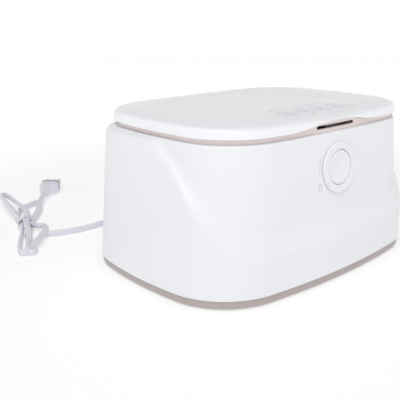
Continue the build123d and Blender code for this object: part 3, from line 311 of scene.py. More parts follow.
# floor: a flat disc that curves up far away, and glows a little so that it stays white
floorLook = {"flat": 2200, "reach": 3400, "rim": 1000, "steps": 96, "colour": tone(200, 200, 200),
             "discShares": (0.1, 0.4, 0.7, 1.0), "rough": 0.9,
             "near": 260.0, "far": 720.0, "nearLift": 0.46, "farLift": 0.64}
look = floorLook
spokes = [(cos(2 * pi * k / look["steps"]), sin(2 * pi * k / look["steps"])) for k in range(look["steps"])]
bowl = [(look["flat"] * share, 0.0) for share in look["discShares"]]
bowl += [(look["flat"] + (look["reach"] - look["flat"]) * sin(radians(a)), look["rim"] * (1 - cos(radians(a))))
         for a in range(10, 91, 10)]
rings = [[(radius * x, radius * y, rise) for x, y in spokes] for radius, rise in bowl]
points, faces = joined(rings)
floor = meshObject("floor", points, [face[::-1] for face in faces] + [tuple(range(look["steps"]))])
paper = Finish("paper floor")
away = paper.node("ShaderNodeVectorMath", {"operation": "LENGTH"}, {0: paper.place}, out=1)
away = paper.node("ShaderNodeMapRange", {"interpolation_type": "SMOOTHSTEP"},
                  {0: away, 1: look["near"] * mm, 2: look["far"] * mm, 3: 0.0, 4: 1.0})
nearGlow, farGlow = [(lift, lift, lift, 1.0) for lift in (look["nearLift"], look["farLift"])]
paper.shade(Base_Color=look["colour"], Roughness=look["rough"], Specular_IOR_Level=0.0)
paper.shade(Emission_Color=paper.blend(away, nearGlow, farGlow), Emission_Strength=1.0)
floor.data.materials.append(paper.material)
print("camera, floor and lights")


class Tree(Maker):
    # a tree of geometry nodes with named inputs
    def __init__(self, name, inputs):
        self.tree = bpy.data.node_groups.new(name, "GeometryNodeTree")
        self.face = self.tree.interface
        self.face.new_socket("Geometry", in_out="INPUT", socket_type="NodeSocketGeometry")
        self.keys = {}
        for label, value in inputs.items():
            kind = "NodeSocketInt" if isinstance(value, int) else "NodeSocketFloat"
            made = self.face.new_socket(label, in_out="INPUT", socket_type=kind)
            made.default_value = value
            self.keys[label] = made.identifier
        self.face.new_socket("Geometry", in_out="OUTPUT", socket_type="NodeSocketGeometry")
        self.start = self.tree.nodes.new("NodeGroupInput")

    def given(self, label):
        return Flow(self, self.start.outputs[label])

    def close(self, shape, material):
        # ends in real geometry with its finish
        shape = self.node("GeometryNodeRealizeInstances", None, {"Geometry": shape})
        shape = self.node("GeometryNodeSetMaterial", None, {"Geometry": shape, "Material": material})
        end = self.tree.nodes.new("NodeGroupOutput")
        self.tree.links.new(shape.socket, end.inputs[0])


def grown(piece, tree, counts, sizes):
    # runs a tree on a piece and keeps the plain mesh; sizes are in millimetres
    run = piece.modifiers.new("grow", "NODES")
    run.node_group = tree.tree
    for label, value in {**counts, **{label: size * mm for label, size in sizes.items()}}.items():
        run[tree.keys[label]] = value
    return plain(piece)


def placed(piece, place):
    # moves every vertex of a piece, given in millimetres
    for vertex in piece.data.vertices:
        vertex.co = place(*(vertex.co / mm)) * mm
    piece.data.update()
    return piece


def merged(name, *parts):
    # one piece from several, with its faces turned outward
    whole = bmesh.new()
    for part in parts:
        whole.from_mesh(part.data)
        bpy.data.objects.remove(part)
    bmesh.ops.recalc_face_normals(whole, faces=whole.faces)
    mesh = bpy.data.meshes.new(name)
    whole.to_mesh(mesh)
    whole.free()
    return shown(name, softened(mesh))


# beads round a straight axis, each as wide as its place between the two radii asks
ribTree = Tree("ribs", {"Count": 5, "Pitch": 0.003, "First Radius": 0.005, "Last Radius": 0.0036, "Bead": 0.0006})
index = ribTree.node("GeometryNodeInputIndex")
share = ribTree.node("ShaderNodeMath", {"operation": "DIVIDE"}, {0: index, 1: ribTree.given("Count") - 1})
radius = ribTree.given("First Radius") + (ribTree.given("Last Radius") - ribTree.given("First Radius")) * share
step = ribTree.node("ShaderNodeCombineXYZ", None, {"Z": ribTree.given("Pitch")})
line = ribTree.node("GeometryNodeMeshLine", {"mode": "OFFSET"}, {"Count": ribTree.given("Count"), "Offset": step})
hoop = ribTree.node("GeometryNodeCurvePrimitiveCircle", {"mode": "RADIUS"}, {"Resolution": 48, "Radius": 1.0})
bead = ribTree.node("ShaderNodeMath", {"operation": "DIVIDE"},
                    {0: ribTree.given("Bead"), 1: ribTree.given("First Radius")})
section = ribTree.node("GeometryNodeCurvePrimitiveCircle", {"mode": "RADIUS"}, {"Resolution": 10, "Radius": bead})
hoop = ribTree.node("GeometryNodeCurveToMesh", None, {"Curve": hoop, "Profile Curve": section})
width = ribTree.node("ShaderNodeCombineXYZ", None, {"X": radius, "Y": radius, "Z": radius})
ribs = ribTree.node("GeometryNodeInstanceOnPoints", None, {"Points": line, "Instance": hoop, "Scale": width})
both = ribTree.node("GeometryNodeJoinGeometry", None, {"Geometry": ribs})
ribTree.tree.links.new(ribTree.given("Geometry").socket, both.socket.node.inputs[0])
ribTree.close(both, finishes["white_vinyl"])

# round wire wound into a coil
coilTree = Tree("coil", {"Turns": 5.5, "Radius": 0.00225, "Wire": 0.00045, "Length": 0.006})
spiral = coilTree.node("GeometryNodeCurveSpiral", None, {
    "Resolution": 28, "Rotations": coilTree.given("Turns"), "Start Radius": coilTree.given("Radius"),
    "End Radius": coilTree.given("Radius"), "Height": coilTree.given("Length")})
wire = coilTree.node("GeometryNodeCurvePrimitiveCircle", {"mode": "RADIUS"},
                     {"Resolution": 10, "Radius": coilTree.given("Wire")})
coil = coilTree.node("GeometryNodeCurveToMesh", None, {"Curve": spiral, "Profile Curve": wire, "Fill Caps": True})
coilTree.close(coil, finishes["spring_steel"])

# a soft round bead that follows the outline it is given
beadTree = Tree("sealBead", {"Radius": 0.0018})
outline = beadTree.node("GeometryNodeMeshToCurve", None, {"Mesh": beadTree.given("Geometry")})
section = beadTree.node("GeometryNodeCurvePrimitiveCircle", {"mode": "RADIUS"},
                        {"Resolution": 14, "Radius": beadTree.given("Radius")})
bead = beadTree.node("GeometryNodeCurveToMesh", None, {"Curve": outline, "Profile Curve": section})
beadTree.close(bead, finishes["seal_rubber"])
print("node trees: ribs, coil and seal bead")


def ribbed(piece, look):
    # adds the look's row of ribs along the piece's own axis
    sizes = {"Pitch": look["pitch"], "First Radius": look["firstRadius"], "Last Radius": look["lastRadius"],
             "Bead": look["bead"]}
    return grown(piece, ribTree, {"Count": look["ribs"]}, sizes)


def tangentCentre(first, second, radius):
    # centre of the arc that rounds the right-hand corner where two circles cross
    (start, startRadius), (end, endRadius) = first, second
    reach, other = startRadius - radius, endRadius - radius
    between = end - start
    along = (reach ** 2 - other ** 2 + between.length ** 2) / (2 * between.length)
    across = sqrt(reach ** 2 - along ** 2)
    unit = between.normalized()
    choices = [start + unit * along + Vector((-unit.y, unit.x)) * across * side for side in (-1, 1)]
    return max(choices, key=lambda point: point.x)


def bowedArcs(halfWidth, front, back, frontCorner, rearCorner, sideBow, frontBow, rearBow):
    # eight arcs (centre, radius, start, end) of a rounded oblong whose four sides all bow outward
    halfChord = halfWidth - sideBow
    halfDepth = (back - rearBow - front - frontBow) / 2
    frontRadius, rearRadius, sideRadius = [
        (chord ** 2 + bow ** 2) / (2 * bow)
        for chord, bow in ((halfChord, frontBow), (halfChord, rearBow), (halfDepth, sideBow))]
    frontCircle = (Vector((0, front + frontRadius)), frontRadius)
    rearCircle = (Vector((0, back - rearRadius)), rearRadius)
    sideCircle = (Vector((halfWidth - sideRadius, (back - rearBow + front + frontBow) / 2)), sideRadius)
    frontCentre = tangentCentre(frontCircle, sideCircle, frontCorner)
    rearCentre = tangentCentre(rearCircle, sideCircle, rearCorner)
    turns = [atan2(way.y, way.x) for way in (frontCentre - frontCircle[0], frontCentre - sideCircle[0],
                                             rearCentre - sideCircle[0], rearCentre - rearCircle[0])]
    right = [(frontCentre, frontCorner, turns[0], turns[1]), (*sideCircle, turns[1], turns[2]),
             (rearCentre, rearCorner, turns[2], turns[3])]
    left = [(Vector((-centre.x, centre.y)), radius, pi - end, pi - start)
            for centre, radius, start, end in reversed(right)]
    return [(*frontCircle, -pi - turns[0], turns[0]), *right, (*rearCircle, turns[3], pi - turns[3]), *left]


def around(arcs, steps):
    # points round the arcs, each with the way out from there
    ring = []
    for centre, radius, start, end in arcs:
        for step in range(steps):
            turn = start + (end - start) * step / steps
            out = Vector((cos(turn), sin(turn)))
            ring.append((centre + out * radius, out))
    return ring


def rounded(before, corner, after, reach, steps):
    # a bend in place of a corner, which leaves over half of each leg straight
    back, ahead = before - corner, after - corner
    near, far = [corner + leg.normalized() * min(reach, 0.45 * leg.length) for leg in (back, ahead)]
    shares = [k / steps for k in range(steps + 1)]
    return [near * (1 - t) ** 2 + corner * 2 * t * (1 - t) + far * t ** 2 for t in shares]


# housing: a wrap that rises to the back, a shoulder and an upright drum
housingLook = {
    # half width, front, back, front corner, rear corner, and how far side, front and rear bow out
    "base": (120.0, -89.0, 89.0, 53.0, 50.0, 10.4, 11.1, 6.0),
    "top": (108.5, -82.0, 81.2, 45.5, 51.3, 8.0, 7.7, 6.1),
    "deck": 110.0, "foot": 7.0, "wall": 2.4, "steps": 26,
    "hem": 8.0, "hemGrowth": 0.62, "draft": 0.08, "lowLean": -0.2, "fullLean": 100.0,
    "drumDraft": 0.06, "drumUpright": 100.0,
    "step": 32.6, "bend": 25.0, "slope": 1.22, "kneeY": -50.0, "kneeZ": 70.5, "crown": 150.0,
    "rise": 14.0, "riseFall": 0.16, "topDrop": 2.6, "shoulderDrop": 0.8, "crestRound": 2.6, "creaseRound": 7.0,
    "topRound": 2.2, "bendSteps": 7, "sideSteps": 4, "edgeSteps": 5, "edgeFrom": 0.4, "wallFrom": 0.25,
    # share of the wall's thickness by which the inside of the crest and of the crease lies lower
    "crestInset": 0.6, "creaseInset": 0.9,
    "ledge": 5.0, "knobHeight": 83.8, "ringHole": 15.7, "ringCut": (-9, 9), "ringSteps": 72,
    "bootX": -50.0, "bootZ": 14.0, "bootHole": 4.4, "bootCut": (76, 99), "bootSteps": 48,
}


def crestHeight(y, look):
    # height of the wrap's upper edge: a step in front, a bend, a straight slope and a round crown at the back
    lean = atan(look["slope"])
    meet = look["kneeY"] - (look["kneeZ"] - look["step"]) / look["slope"]
    reach = look["bend"] * (sqrt(1 + look["slope"] ** 2) - 1) / look["slope"]
    if y <= meet - reach:
        return look["step"]
    if y <= meet + reach * cos(lean):
        return look["step"] + look["bend"] - sqrt(look["bend"] ** 2 - (y - meet + reach) ** 2)
    if y <= look["kneeY"]:
        return look["kneeZ"] + look["slope"] * (y - look["kneeY"])
    centreY = look["kneeY"] + look["crown"] * sin(lean)
    centreZ = look["kneeZ"] - look["crown"] * cos(lean)
    height = centreZ + sqrt(look["crown"] ** 2 - min(y - centreY, 0) ** 2)
    return min(height, look["deck"] - look["topDrop"])


def housingColumn(base, top, inset, look):
    # points up the wall between a place on the base outline and one on the top outline
    (basePoint, baseOut), (topPoint, topOut) = base, top
    rim = crestHeight(basePoint.y + baseOut.y * look["hemGrowth"], look)
    share = min(max((rim - look["step"]) / (look["fullLean"] - look["step"]), 0.0), 1.0)
    lean = look["lowLean"] + (1 - look["lowLean"]) * share * share * (3 - 2 * share)

    def wrapAt(z):
        growth = look["hemGrowth"] - look["draft"] * lean * (z - look["hem"]) - inset
        return (basePoint + baseOut * growth).to_3d() + Vector((0, 0, z))

    def drumAt(z, more=0.0):
        growth = look["drumDraft"] * (look["drumUpright"] - z) - inset - more
        return (topPoint + topOut * growth).to_3d() + Vector((0, 0, z))

    crest = wrapAt(rim - look["crestInset"] * inset)
    rise = look["rise"] - look["riseFall"] * (rim - look["step"])
    crease = drumAt(min(rim + rise, look["deck"] - look["shoulderDrop"]) - look["creaseInset"] * inset)
    brink = drumAt(look["deck"] - inset)
    ledge = drumAt(look["deck"] - inset, look["ledge"])
    foot = wrapAt(look["foot"])
    shoulder = rounded(foot, crest, crease, look["crestRound"], look["bendSteps"])
    shoulder += rounded(crest, crease, brink, look["creaseRound"], look["bendSteps"])
    side = [foot + (shoulder[0] - foot) * k / look["sideSteps"] for k in range(look["sideSteps"])]
    wall, edgeStart = [shoulder[-1].lerp(brink, look[share]) for share in ("wallFrom", "edgeFrom")]
    edge = rounded(edgeStart, brink, ledge, look["topRound"], look["edgeSteps"])
    return side + shoulder + [wall] + edge + [ledge]


look = housingLook
topRadius = ((look["top"][0] - look["top"][5]) ** 2 + look["top"][6] ** 2) / (2 * look["top"][6])
knobLean = atan(look["drumDraft"])


def frontWall(x, z, lift=0.0):
    # point on the drum's front wall, or lift proud of it
    growth = housingLook["drumDraft"] * (housingLook["drumUpright"] - z) + lift
    side = x / topRadius
    centreY = housingLook["top"][1] + topRadius
    reach = topRadius + growth
    return Vector((reach * side, centreY - reach * sqrt(1 - side * side), z))


def onKnob(x, y, z):
    # point given across, up and out from the middle of the lock ring's seat
    middle = frontWall(0, housingLook["knobHeight"])
    return middle + Vector((x, y * sin(knobLean) - z * cos(knobLean), y * cos(knobLean) + z * sin(knobLean)))


baseRing = around(bowedArcs(*look["base"]), look["steps"])
topRing = around(bowedArcs(*look["top"]), look["steps"])
outerColumns = [housingColumn(base, top, 0.0, look) for base, top in zip(baseRing, topRing)]
innerColumns = [housingColumn(base, top, look["wall"], look) for base, top in zip(baseRing, topRing)]
outerRings = list(zip(*outerColumns))
innerRings = list(zip(*innerColumns))[::-1]
housing = meshObject("housing", *joined(outerRings + innerRings, closed=True))
ringCutter = latheRings([(look["ringHole"], reach) for reach in look["ringCut"]], look["ringSteps"], onKnob)
bootCutter = latheRings([(look["bootHole"], reach) for reach in look["bootCut"]], look["bootSteps"],
                        lambda x, y, z: Vector((look["bootX"] - x, z, look["bootZ"] + y)))
carved(housing, meshObject("ringCutter", *joined(ringCutter, capped=True)),
       meshObject("bootCutter", *joined(bootCutter, capped=True)))
finished(housing, "housing", "white_plastic", "body_shell")
print("housing:", len(housing.data.polygons), "faces")

# lid: a low dome with a dish in its top and an oblong recess for the keys
lidLook = {
    "bottom": 113.9, "skirt": 5.7, "wall": 2.2, "steps": 30,
    # reach in from the outline and rise above the bottom edge
    "profile": [(0.0, 0.0), (0.08, 2.4), (0.2, 4.4), (0.45, 5.2), (0.8, 5.85), (1.35, 6.45), (2.1, 6.9),
                (3.2, 7.2), (5.4, 7.48), (8.0, 7.8), (11.0, 8.16), (14.0, 8.5), (17.0, 8.82), (20.0, 9.1),
                (27.0, 9.6), (34.0, 9.9)],
    # the same along the front, where the edge is softer, and how fast it comes in from the sides
    "softProfile": [(0.0, 0.0), (0.1, 2.2), (0.4, 3.9), (0.9, 4.9), (1.6, 5.6), (2.6, 6.2), (3.9, 6.7),
                    (5.4, 7.1), (7.3, 7.45), (9.3, 7.75), (11.6, 8.08), (14.2, 8.45), (17.0, 8.8), (20.0, 9.1),
                    (27.0, 9.6), (34.0, 9.9)],
    "softPower": 3, "crownShares": (0.06, 0.12), "crownRise": 0.01,
    "brow": 4.7, "browHalf": 54.0, "notch": 4.3, "notchHalf": 72.0, "notchFrom": 73.0,
    # the dish's half width, front, back and corner, then height over its floor and reach out of its outline
    "dish": (62.0, -30.0, 56.0, 24.0), "dishDepth": 0.8,
    "dishEdge": [(0.0, -1.9), (0.04, -1.3), (0.2, -0.8), (0.5, -0.3), (0.75, 0.15), (0.86, 0.7), (0.9, 1.5),
                 (3.0, 6.0)],
    "stripY": -57.0, "stripZ": 122.95, "stripTilt": 3.8, "stripHalf": (42.0, 15.0),
    # height over the recess's brim and reach out of its outline
    "stripEdge": [(-1.9, 0.0), (-0.45, 0.0), (-0.1, 0.12), (0.12, 0.5), (0.2, 0.9), (4.0, 9.0)],
    "cornerSteps": 16, "rough": 0.34,
    "colour": tone(242, 243, 246), "shade": tone(239, 240, 243),
}


def browRise(x, look):
    # how far the lid's lower edge arches up over the slot in front
    half = look["browHalf"] / 2
    radius = (half ** 2 + (look["brow"] / 2) ** 2) / look["brow"]
    away = abs(x)
    if away <= half:
        return look["brow"] - radius + sqrt(radius ** 2 - away ** 2)
    return radius - sqrt(radius ** 2 - max(2 * half - away, 0) ** 2)


def lidColumn(place, inset, look):
    # points from the lower edge over the top toward the middle of the lid
    point, out = place
    low = browRise(point.x, look) if point.y < 0 else 0.0
    if point.y > look["notchFrom"] and abs(point.x) < look["notchHalf"]:
        low = look["notch"]
    soft = max(-out.y, 0.0) ** look["softPower"]
    column = []
    for tight, broad in zip(look["profile"], look["softProfile"]):
        reach, rise = [a + (b - a) * soft for a, b in zip(tight, broad)]
        if rise < look["skirt"]:
            rise = low + (look["skirt"] - low) * rise / look["skirt"]
        rise = max(rise - inset, low)
        column.append((point - out * (reach + inset)).to_3d() + Vector((0, 0, look["bottom"] + rise)))
    crown = Vector((0, 0, column[-1].z + look["crownRise"]))
    return column + [column[-1].lerp(crown, share) for share in look["crownShares"]]


def onStrip(x, y, z):
    # point given across, back and up from the middle of the recess's brim
    lean = radians(lidLook["stripTilt"])
    return Vector((x, lidLook["stripY"] + y * cos(lean) - z * sin(lean),
                   lidLook["stripZ"] + y * sin(lean) + z * cos(lean)))


look = lidLook
lidRing = around(bowedArcs(*housingLook["top"]), look["steps"])
outerRings = list(zip(*[lidColumn(place, 0.0, look) for place in lidRing]))
innerRings = list(zip(*[lidColumn(place, look["wall"], look) for place in lidRing]))
points, faces = joined(innerRings[::-1] + outerRings, capped=True)
lid = meshObject("lid", points, faces)
dishHalf, dishFront, dishRear, dishCorner = look["dish"]
dishMiddle = (dishFront + dishRear) / 2
lidTop = look["bottom"] + look["profile"][-1][1]
dishRings = [[(x, y + dishMiddle, lidTop - look["dishDepth"] + rise) for x, y in
              roundedBox(dishHalf + reach, (dishRear - dishFront) / 2 + reach, dishCorner + reach,
                         look["cornerSteps"])]
             for rise, reach in look["dishEdge"]]
stripLength, stripHeight = look["stripHalf"]
stripRings = [[onStrip(x, y, z) for x, y in
               roundedBox(stripLength + grow, stripHeight + grow, stripHeight + grow, look["cornerSteps"])]
              for z, grow in look["stripEdge"]]
carved(lid, meshObject("dishCutter", *joined(dishRings, capped=True)),
       meshObject("stripCutter", *joined(stripRings, capped=True)))
finished(lid, "lid", "white_plastic", "lid_cover", finish=mouldedPlastic("lid plastic", look))
print("lid:", len(lid.data.polygons), "faces")

# lock ring and the button in it
ringLook = {
    # radius and height over the seat
    "ring": [(12.9, -4.6), (12.9, 0.7), (13.0, 1.15), (13.25, 1.4), (13.6, 1.5), (14.4, 1.47), (15.2, 1.43),
             (16.0, 1.43), (16.8, 1.5), (17.5, 1.6), (18.0, 1.6), (18.35, 1.48), (18.6, 1.2), (18.72, 0.85),
             (18.75, 0.5), (18.75, 0.12), (15.4, 0.12), (15.4, -4.6)],
    "button": [(12.2, -4.9), (12.6, -4.8), (12.6, 0.3), (12.5, 0.7), (12.25, 0.98), (11.9, 1.1), (11.2, 1.1),
               (10.4, 1.08), (9.6, 1.0), (8.6, 0.84), (7.4, 0.62), (6.0, 0.44), (4.4, 0.3), (2.6, 0.22), (1.2, 0.2)],
    "steps": 120, "ringTop": 1.45,
    "pipWidth": 1.4, "pipLength": 3.6, "pipAngle": 212.0, "pipReach": 15.4, "pipSteps": 5, "pipSlack": 0.02,
    # height over the ring's top and how much narrower the pip is there
    "pipEdge": [(-0.3, 0), (0.4, 0), (0.54, 0.08), (0.6, 0.25)],
}
look = ringLook
ringRings = latheRings(look["ring"], look["steps"], onKnob)
ring = meshObject("lockRing", *joined(ringRings[::-1], closed=True))
turn = radians(look["pipAngle"])
pipRings = []
for rise, shrink in look["pipEdge"]:
    halfLength, halfWidth = look["pipLength"] / 2 - shrink, look["pipWidth"] / 2 - shrink
    spots = roundedBox(halfLength, halfWidth, halfWidth - look["pipSlack"], look["pipSteps"])
    spots = [(x + look["pipReach"], y) for x, y in spots]
    pipRings.append([onKnob(x * cos(turn) - y * sin(turn), x * sin(turn) + y * cos(turn), look["ringTop"] + rise)
                     for x, y in spots])
pip = meshObject("pip", *joined(pipRings, capped=True))
finished(merged("lockRing", ring, pip), "lock_ring", "white_plastic", "lock_ring")
button = meshObject("button", *joined(latheRings(look["button"], look["steps"], onKnob), capped=True))
finished(button, "button", "white_plastic", "release_button")
print("lock ring and button")


def strokeOn(name, path, width, low, high, place, closed=False):
    # a flat raised line along a path, put on a surface by place
    path = [Vector(point) for point in path]
    count = len(path)
    sides = []
    for k, here in enumerate(path):
        before = path[(k - 1) % count] if closed or k else here
        after = path[(k + 1) % count] if closed or k < count - 1 else here
        along = (after - before).normalized()
        across = Vector((-along.y, along.x)) * width / 2
        sides.append((here + across, here - across))
    rings = [[place(b.x, b.y, low), place(b.x, b.y, high), place(a.x, a.y, high), place(a.x, a.y, low)]
             for a, b in sides]
    return meshObject(name, *joined(rings, closed=closed, capped=not closed))


# raised marks beside the ring: a shut padlock and an arc that shows the way it turns
markLook = {
    "lockX": -21.0, "lockZ": 72.9, "line": 0.4, "bodyLine": 0.52, "bowLine": 0.44, "low": -0.2, "proud": 0.08,
    # the padlock's body under its middle and the bow over it
    "bodyHalf": (1.8, 1.35), "bodyCorner": 0.4, "bodySteps": 4, "bodyDrop": 1.1,
    "bowHalf": 1.0, "bowLift": 1.1, "bowTall": 1.1, "legLift": 0.1,
    "arcRadius": 21.7, "arc": (153.0, 188.0), "arcSteps": 14, "arcProud": 0.056,
    "colour": tone(204, 204, 208), "shade": tone(198, 198, 203), "rough": 0.5, "edge": thinEdge,
}
look = markLook
lockX, lockZ = look["lockX"], look["lockZ"]
bodyPath = [(lockX + x, lockZ - look["bodyDrop"] + z)
            for x, z in roundedBox(*look["bodyHalf"], look["bodyCorner"], look["bodySteps"])]
bowPath = [(lockX + look["bowHalf"], lockZ + look["legLift"])]
bowPath += [(lockX + look["bowHalf"] * cos(radians(a)), lockZ + look["bowLift"] + look["bowTall"] * sin(radians(a)))
            for a in range(0, 181, 15)]
bowPath.append((lockX - look["bowHalf"], lockZ + look["legLift"]))
start, end = look["arc"]
turns = [radians(start + (end - start) * k / look["arcSteps"]) for k in range(look["arcSteps"] + 1)]
arcPath = [(look["arcRadius"] * cos(a), housingLook["knobHeight"] + look["arcRadius"] * sin(a)) for a in turns]
markParts = [strokeOn("lockBody", bodyPath, look["bodyLine"], look["low"], look["proud"], frontWall, closed=True),
             strokeOn("lockBow", bowPath, look["bowLine"], look["low"], look["proud"], frontWall),
             strokeOn("arc", arcPath, look["line"], look["low"], look["arcProud"], frontWall)]
markFinish = mouldedPlastic("mark plastic", look)
finished(merged("lockMarks", *markParts), "housing", "white_plastic", finish=markFinish)

# small printed signs on the keys: on, warmth, light and timer
keyLook = {
    "places": {"power": -27.0, "warmth": -9.0, "light": 9.0, "timer": 27.0},
    "top": -0.5, "line": 0.5, "low": -0.1, "proud": 0.03, "scale": 0.62,
    "powerRadius": 2.5, "powerGap": (120, 420), "powerBar": [(0, 0.9), (0, 3.4)],
    "waves": (-1.8, 0, 1.8), "waveReach": 0.5, "waveFrom": -2.4, "waveStep": 0.6, "waveSteps": 8,
    "bulbRadius": 1.3, "rays": 8, "rayFrom": 2.2, "rayTo": 3.2,
    "clockRadius": 2.7, "clockHands": [[(0, 1.7), (0, 0)], [(0, 0), (1.2, -0.7)]],
    "colour": tone(176, 176, 183), "shade": tone(168, 168, 175), "rough": 0.5, "edge": thinEdge,
}


def keySign(name, x, look):
    # the strokes of one sign; x is the middle of its key
    def onKey(u, v, z):
        return onStrip(x + u * look["scale"], v * look["scale"], look["top"] + z)

    def line(path, closed=False):
        return strokeOn("line", path, look["line"], look["low"], look["proud"], onKey, closed)

    def circle(radius, start=0, end=345):
        return [(radius * cos(radians(a)), radius * sin(radians(a))) for a in range(start, end + 1, 15)]

    if name == "power":
        return [line(circle(look["powerRadius"], *look["powerGap"])), line(look["powerBar"])]
    if name == "warmth":
        wave = [(look["waveReach"] * sin(2 * pi * k / look["waveSteps"]), look["waveFrom"] + look["waveStep"] * k)
                for k in range(look["waveSteps"] + 1)]
        return [line([(side + sway, rise) for sway, rise in wave]) for side in look["waves"]]
    if name == "light":
        turns = [2 * pi * k / look["rays"] for k in range(look["rays"])]
        rays = [line([(reach * cos(a), reach * sin(a)) for reach in (look["rayFrom"], look["rayTo"])]) for a in turns]
        return [line(circle(look["bulbRadius"]), True), *rays]
    return [line(circle(look["clockRadius"]), True), *[line(hand) for hand in look["clockHands"]]]


look = keyLook
signFinish = mouldedPlastic("key sign ink", look)
for name, x in look["places"].items():
    finished(merged(name + "Sign", *keySign(name, x, look)), "key_" + name, "key_white", finish=signFinish)
print("marks and key signs")

# springs round the hinge pins and the seal under the lid
hingeLook = {"x": 52.0, "y": 77.2, "z": 114.6, "turns": 5.5, "length": 5.9, "radius": 2.25, "wire": 0.45}
look = hingeLook
for name, side in (("left", -1), ("right", 1)):
    coil = grown(meshObject("spring" + name, [], []), coilTree, {"Turns": look["turns"]},
                 {"Radius": look["radius"], "Wire": look["wire"], "Length": look["length"]})
    middle = side * look["x"]
    placed(coil, lambda x, y, z: Vector((middle - look["length"] / 2 + z, look["y"] + x, look["z"] + y)))
    finished(coil, "housing", "spring_steel", "lid_spring_" + name)
sealLook = {"halfX": 98.7, "halfY": 62.7, "corner": 27.7, "cornerSteps": 14, "middleY": 1.0, "z": 116.35,
            "wide": 1.75, "tall": 0.62}
look = sealLook
outline = [Vector((x, y + look["middleY"], 0.0)) * mm
           for x, y in roundedBox(look["halfX"], look["halfY"], look["corner"], look["cornerSteps"])]
sealLine = bpy.data.meshes.new("sealLine")
sealLine.from_pydata(outline, [(k, (k + 1) % len(outline)) for k in range(len(outline))], [])
seal = grown(shown("seal", sealLine), beadTree, {}, {"Radius": look["wide"]})
placed(seal, lambda x, y, z: Vector((x, y, look["z"] + z * look["tall"] / look["wide"])))
finished(seal, "lid", "seal_rubber", "lid_seal")
print("springs and seal")

# cord: the lead from the boot, its hank and the run to the plug
cordLook = {
    "width": 5.5, "thickness": 3.7, "groove": 0.55, "coreTurns": range(-120, 121, 24), "fineness": 10,
    # x, y, z along the lead and how far it is turned up on its edge, in degrees
    "route": [
        (-50.0, 109.9, 14.0, 0), (-50.0, 118.5, 14.0, 10), (-53.0, 127.0, 7.0, 45), (-62.0, 132.6, 3.2, 80),
        (-80.0, 131.4, 2.9, 90), (-98.0, 132.8, 2.9, 90), (-112.5, 137.6, 2.9, 85), (-119.5, 142.0, 3.0, 75),
        (-125.5, 138.4, 3.0, 50), (-134.5, 130.6, 2.7, 30), (-139.5, 122.5, 3.0, 60), (-142.6, 115.9, 3.1, 85),
        (-144.6, 110.9, 3.1, 90), (-147.9, 108.6, 3.1, 90), (-150.2, 111.2, 3.1, 90), (-148.2, 117.2, 3.1, 80),
        (-142.4, 128.0, 3.0, 40),
        (-136.6, 138.0, 3.8, 10), (-131.5, 150.0, 6.8, 0), (-128.7, 157.0, 7.6, 0), (-125.8, 164.9, 8.5, 0),
        (-123.0, 171.1, 9.4, 0), (-114.8, 183.0, 10.0, 10), (-110.0, 201.0, 10.6, 20), (-107.0, 223.5, 11.0, 60),
        (-105.0, 245.0, 11.3, 80), (-104.4, 256.0, 11.3, 90), (-108.6, 256.4, 11.3, 90), (-111.2, 246.9, 11.2, 90),
        (-113.8, 236.0, 10.9, 80), (-117.4, 218.5, 10.0, 60), (-120.8, 199.5, 8.0, 55), (-123.2, 185.0, 6.2, 50),
        (-125.4, 176.5, 4.5, 60), (-130.9, 164.0, 3.5, 75), (-141.0, 145.4, 3.1, 85), (-150.0, 129.4, 3.0, 90),
        (-155.0, 117.9, 3.1, 90), (-154.9, 112.8, 3.3, 85), (-151.6, 112.2, 3.9, 75), (-147.3, 114.8, 4.9, 50),
        (-136.8, 122.8, 6.0, 35), (-125.8, 135.2, 6.1, 40), (-119.2, 143.0, 6.0, 60), (-113.8, 149.6, 5.9, 80),
        (-114.8, 156.6, 5.8, 85), (-118.4, 159.4, 5.8, 70), (-119.4, 165.6, 5.8, 40), (-119.2, 173.0, 5.8, 20),
        (-120.7, 180.7, 4.6, 40), (-123.6, 186.0, 3.6, 60), (-121.9, 195.1, 3.2, 80), (-114.0, 208.0, 3.2, 75),
        (-104.6, 222.0, 3.3, 70), (-97.0, 226.8, 3.5, 60), (-90.8, 227.8, 4.0, 60), (-84.0, 230.4, 4.6, 60),
        (-82.8, 223.8, 5.2, 85), (-91.2, 211.0, 5.4, 90), (-101.1, 196.5, 5.0, 60), (-110.0, 185.4, 3.8, 30),
        (-116.2, 176.0, 2.6, 10), (-124.2, 162.5, 2.3, 0), (-129.6, 153.6, 2.1, 0), (-132.4, 149.0, 2.1, 0),
        (-134.0, 146.9, 3.4, 0), (-132.2, 149.2, 5.1, 0), (-129.3, 154.5, 4.9, 0), (-125.6, 162.9, 3.9, 0),
        (-122.4, 172.8, 2.8, 0),
        (-115.6, 180.9, 2.5, 10), (-109.8, 184.2, 2.8, 30), (-100.7, 194.5, 3.6, 60), (-88.5, 211.2, 4.6, 70),
        (-81.5, 226.3, 5.3, 70), (-75.3, 235.3, 6.8, 40), (-68.3, 243.7, 6.8, 0),
    ],
}


def splinePath(name, points, fineness):
    # points along an open spline through the route
    curve = bpy.data.curves.new(name, "CURVE")
    curve.dimensions = "3D"
    spline = curve.splines.new("NURBS")
    spline.points.add(len(points) - 1)
    for made, point in zip(spline.points, points):
        made.co = (*[value * mm for value in point[:3]], 1)
    spline.order_u = 3
    spline.use_endpoint_u = True
    spline.resolution_u = fineness
    holder = shown(name, curve)
    bpy.context.view_layer.update()
    read = bpy.data.meshes.new_from_object(holder.evaluated_get(bpy.context.evaluated_depsgraph_get()))
    path = [vertex.co / mm for vertex in read.vertices]
    bpy.data.objects.remove(holder)
    bpy.data.curves.remove(curve)
    bpy.data.meshes.remove(read)
    return path


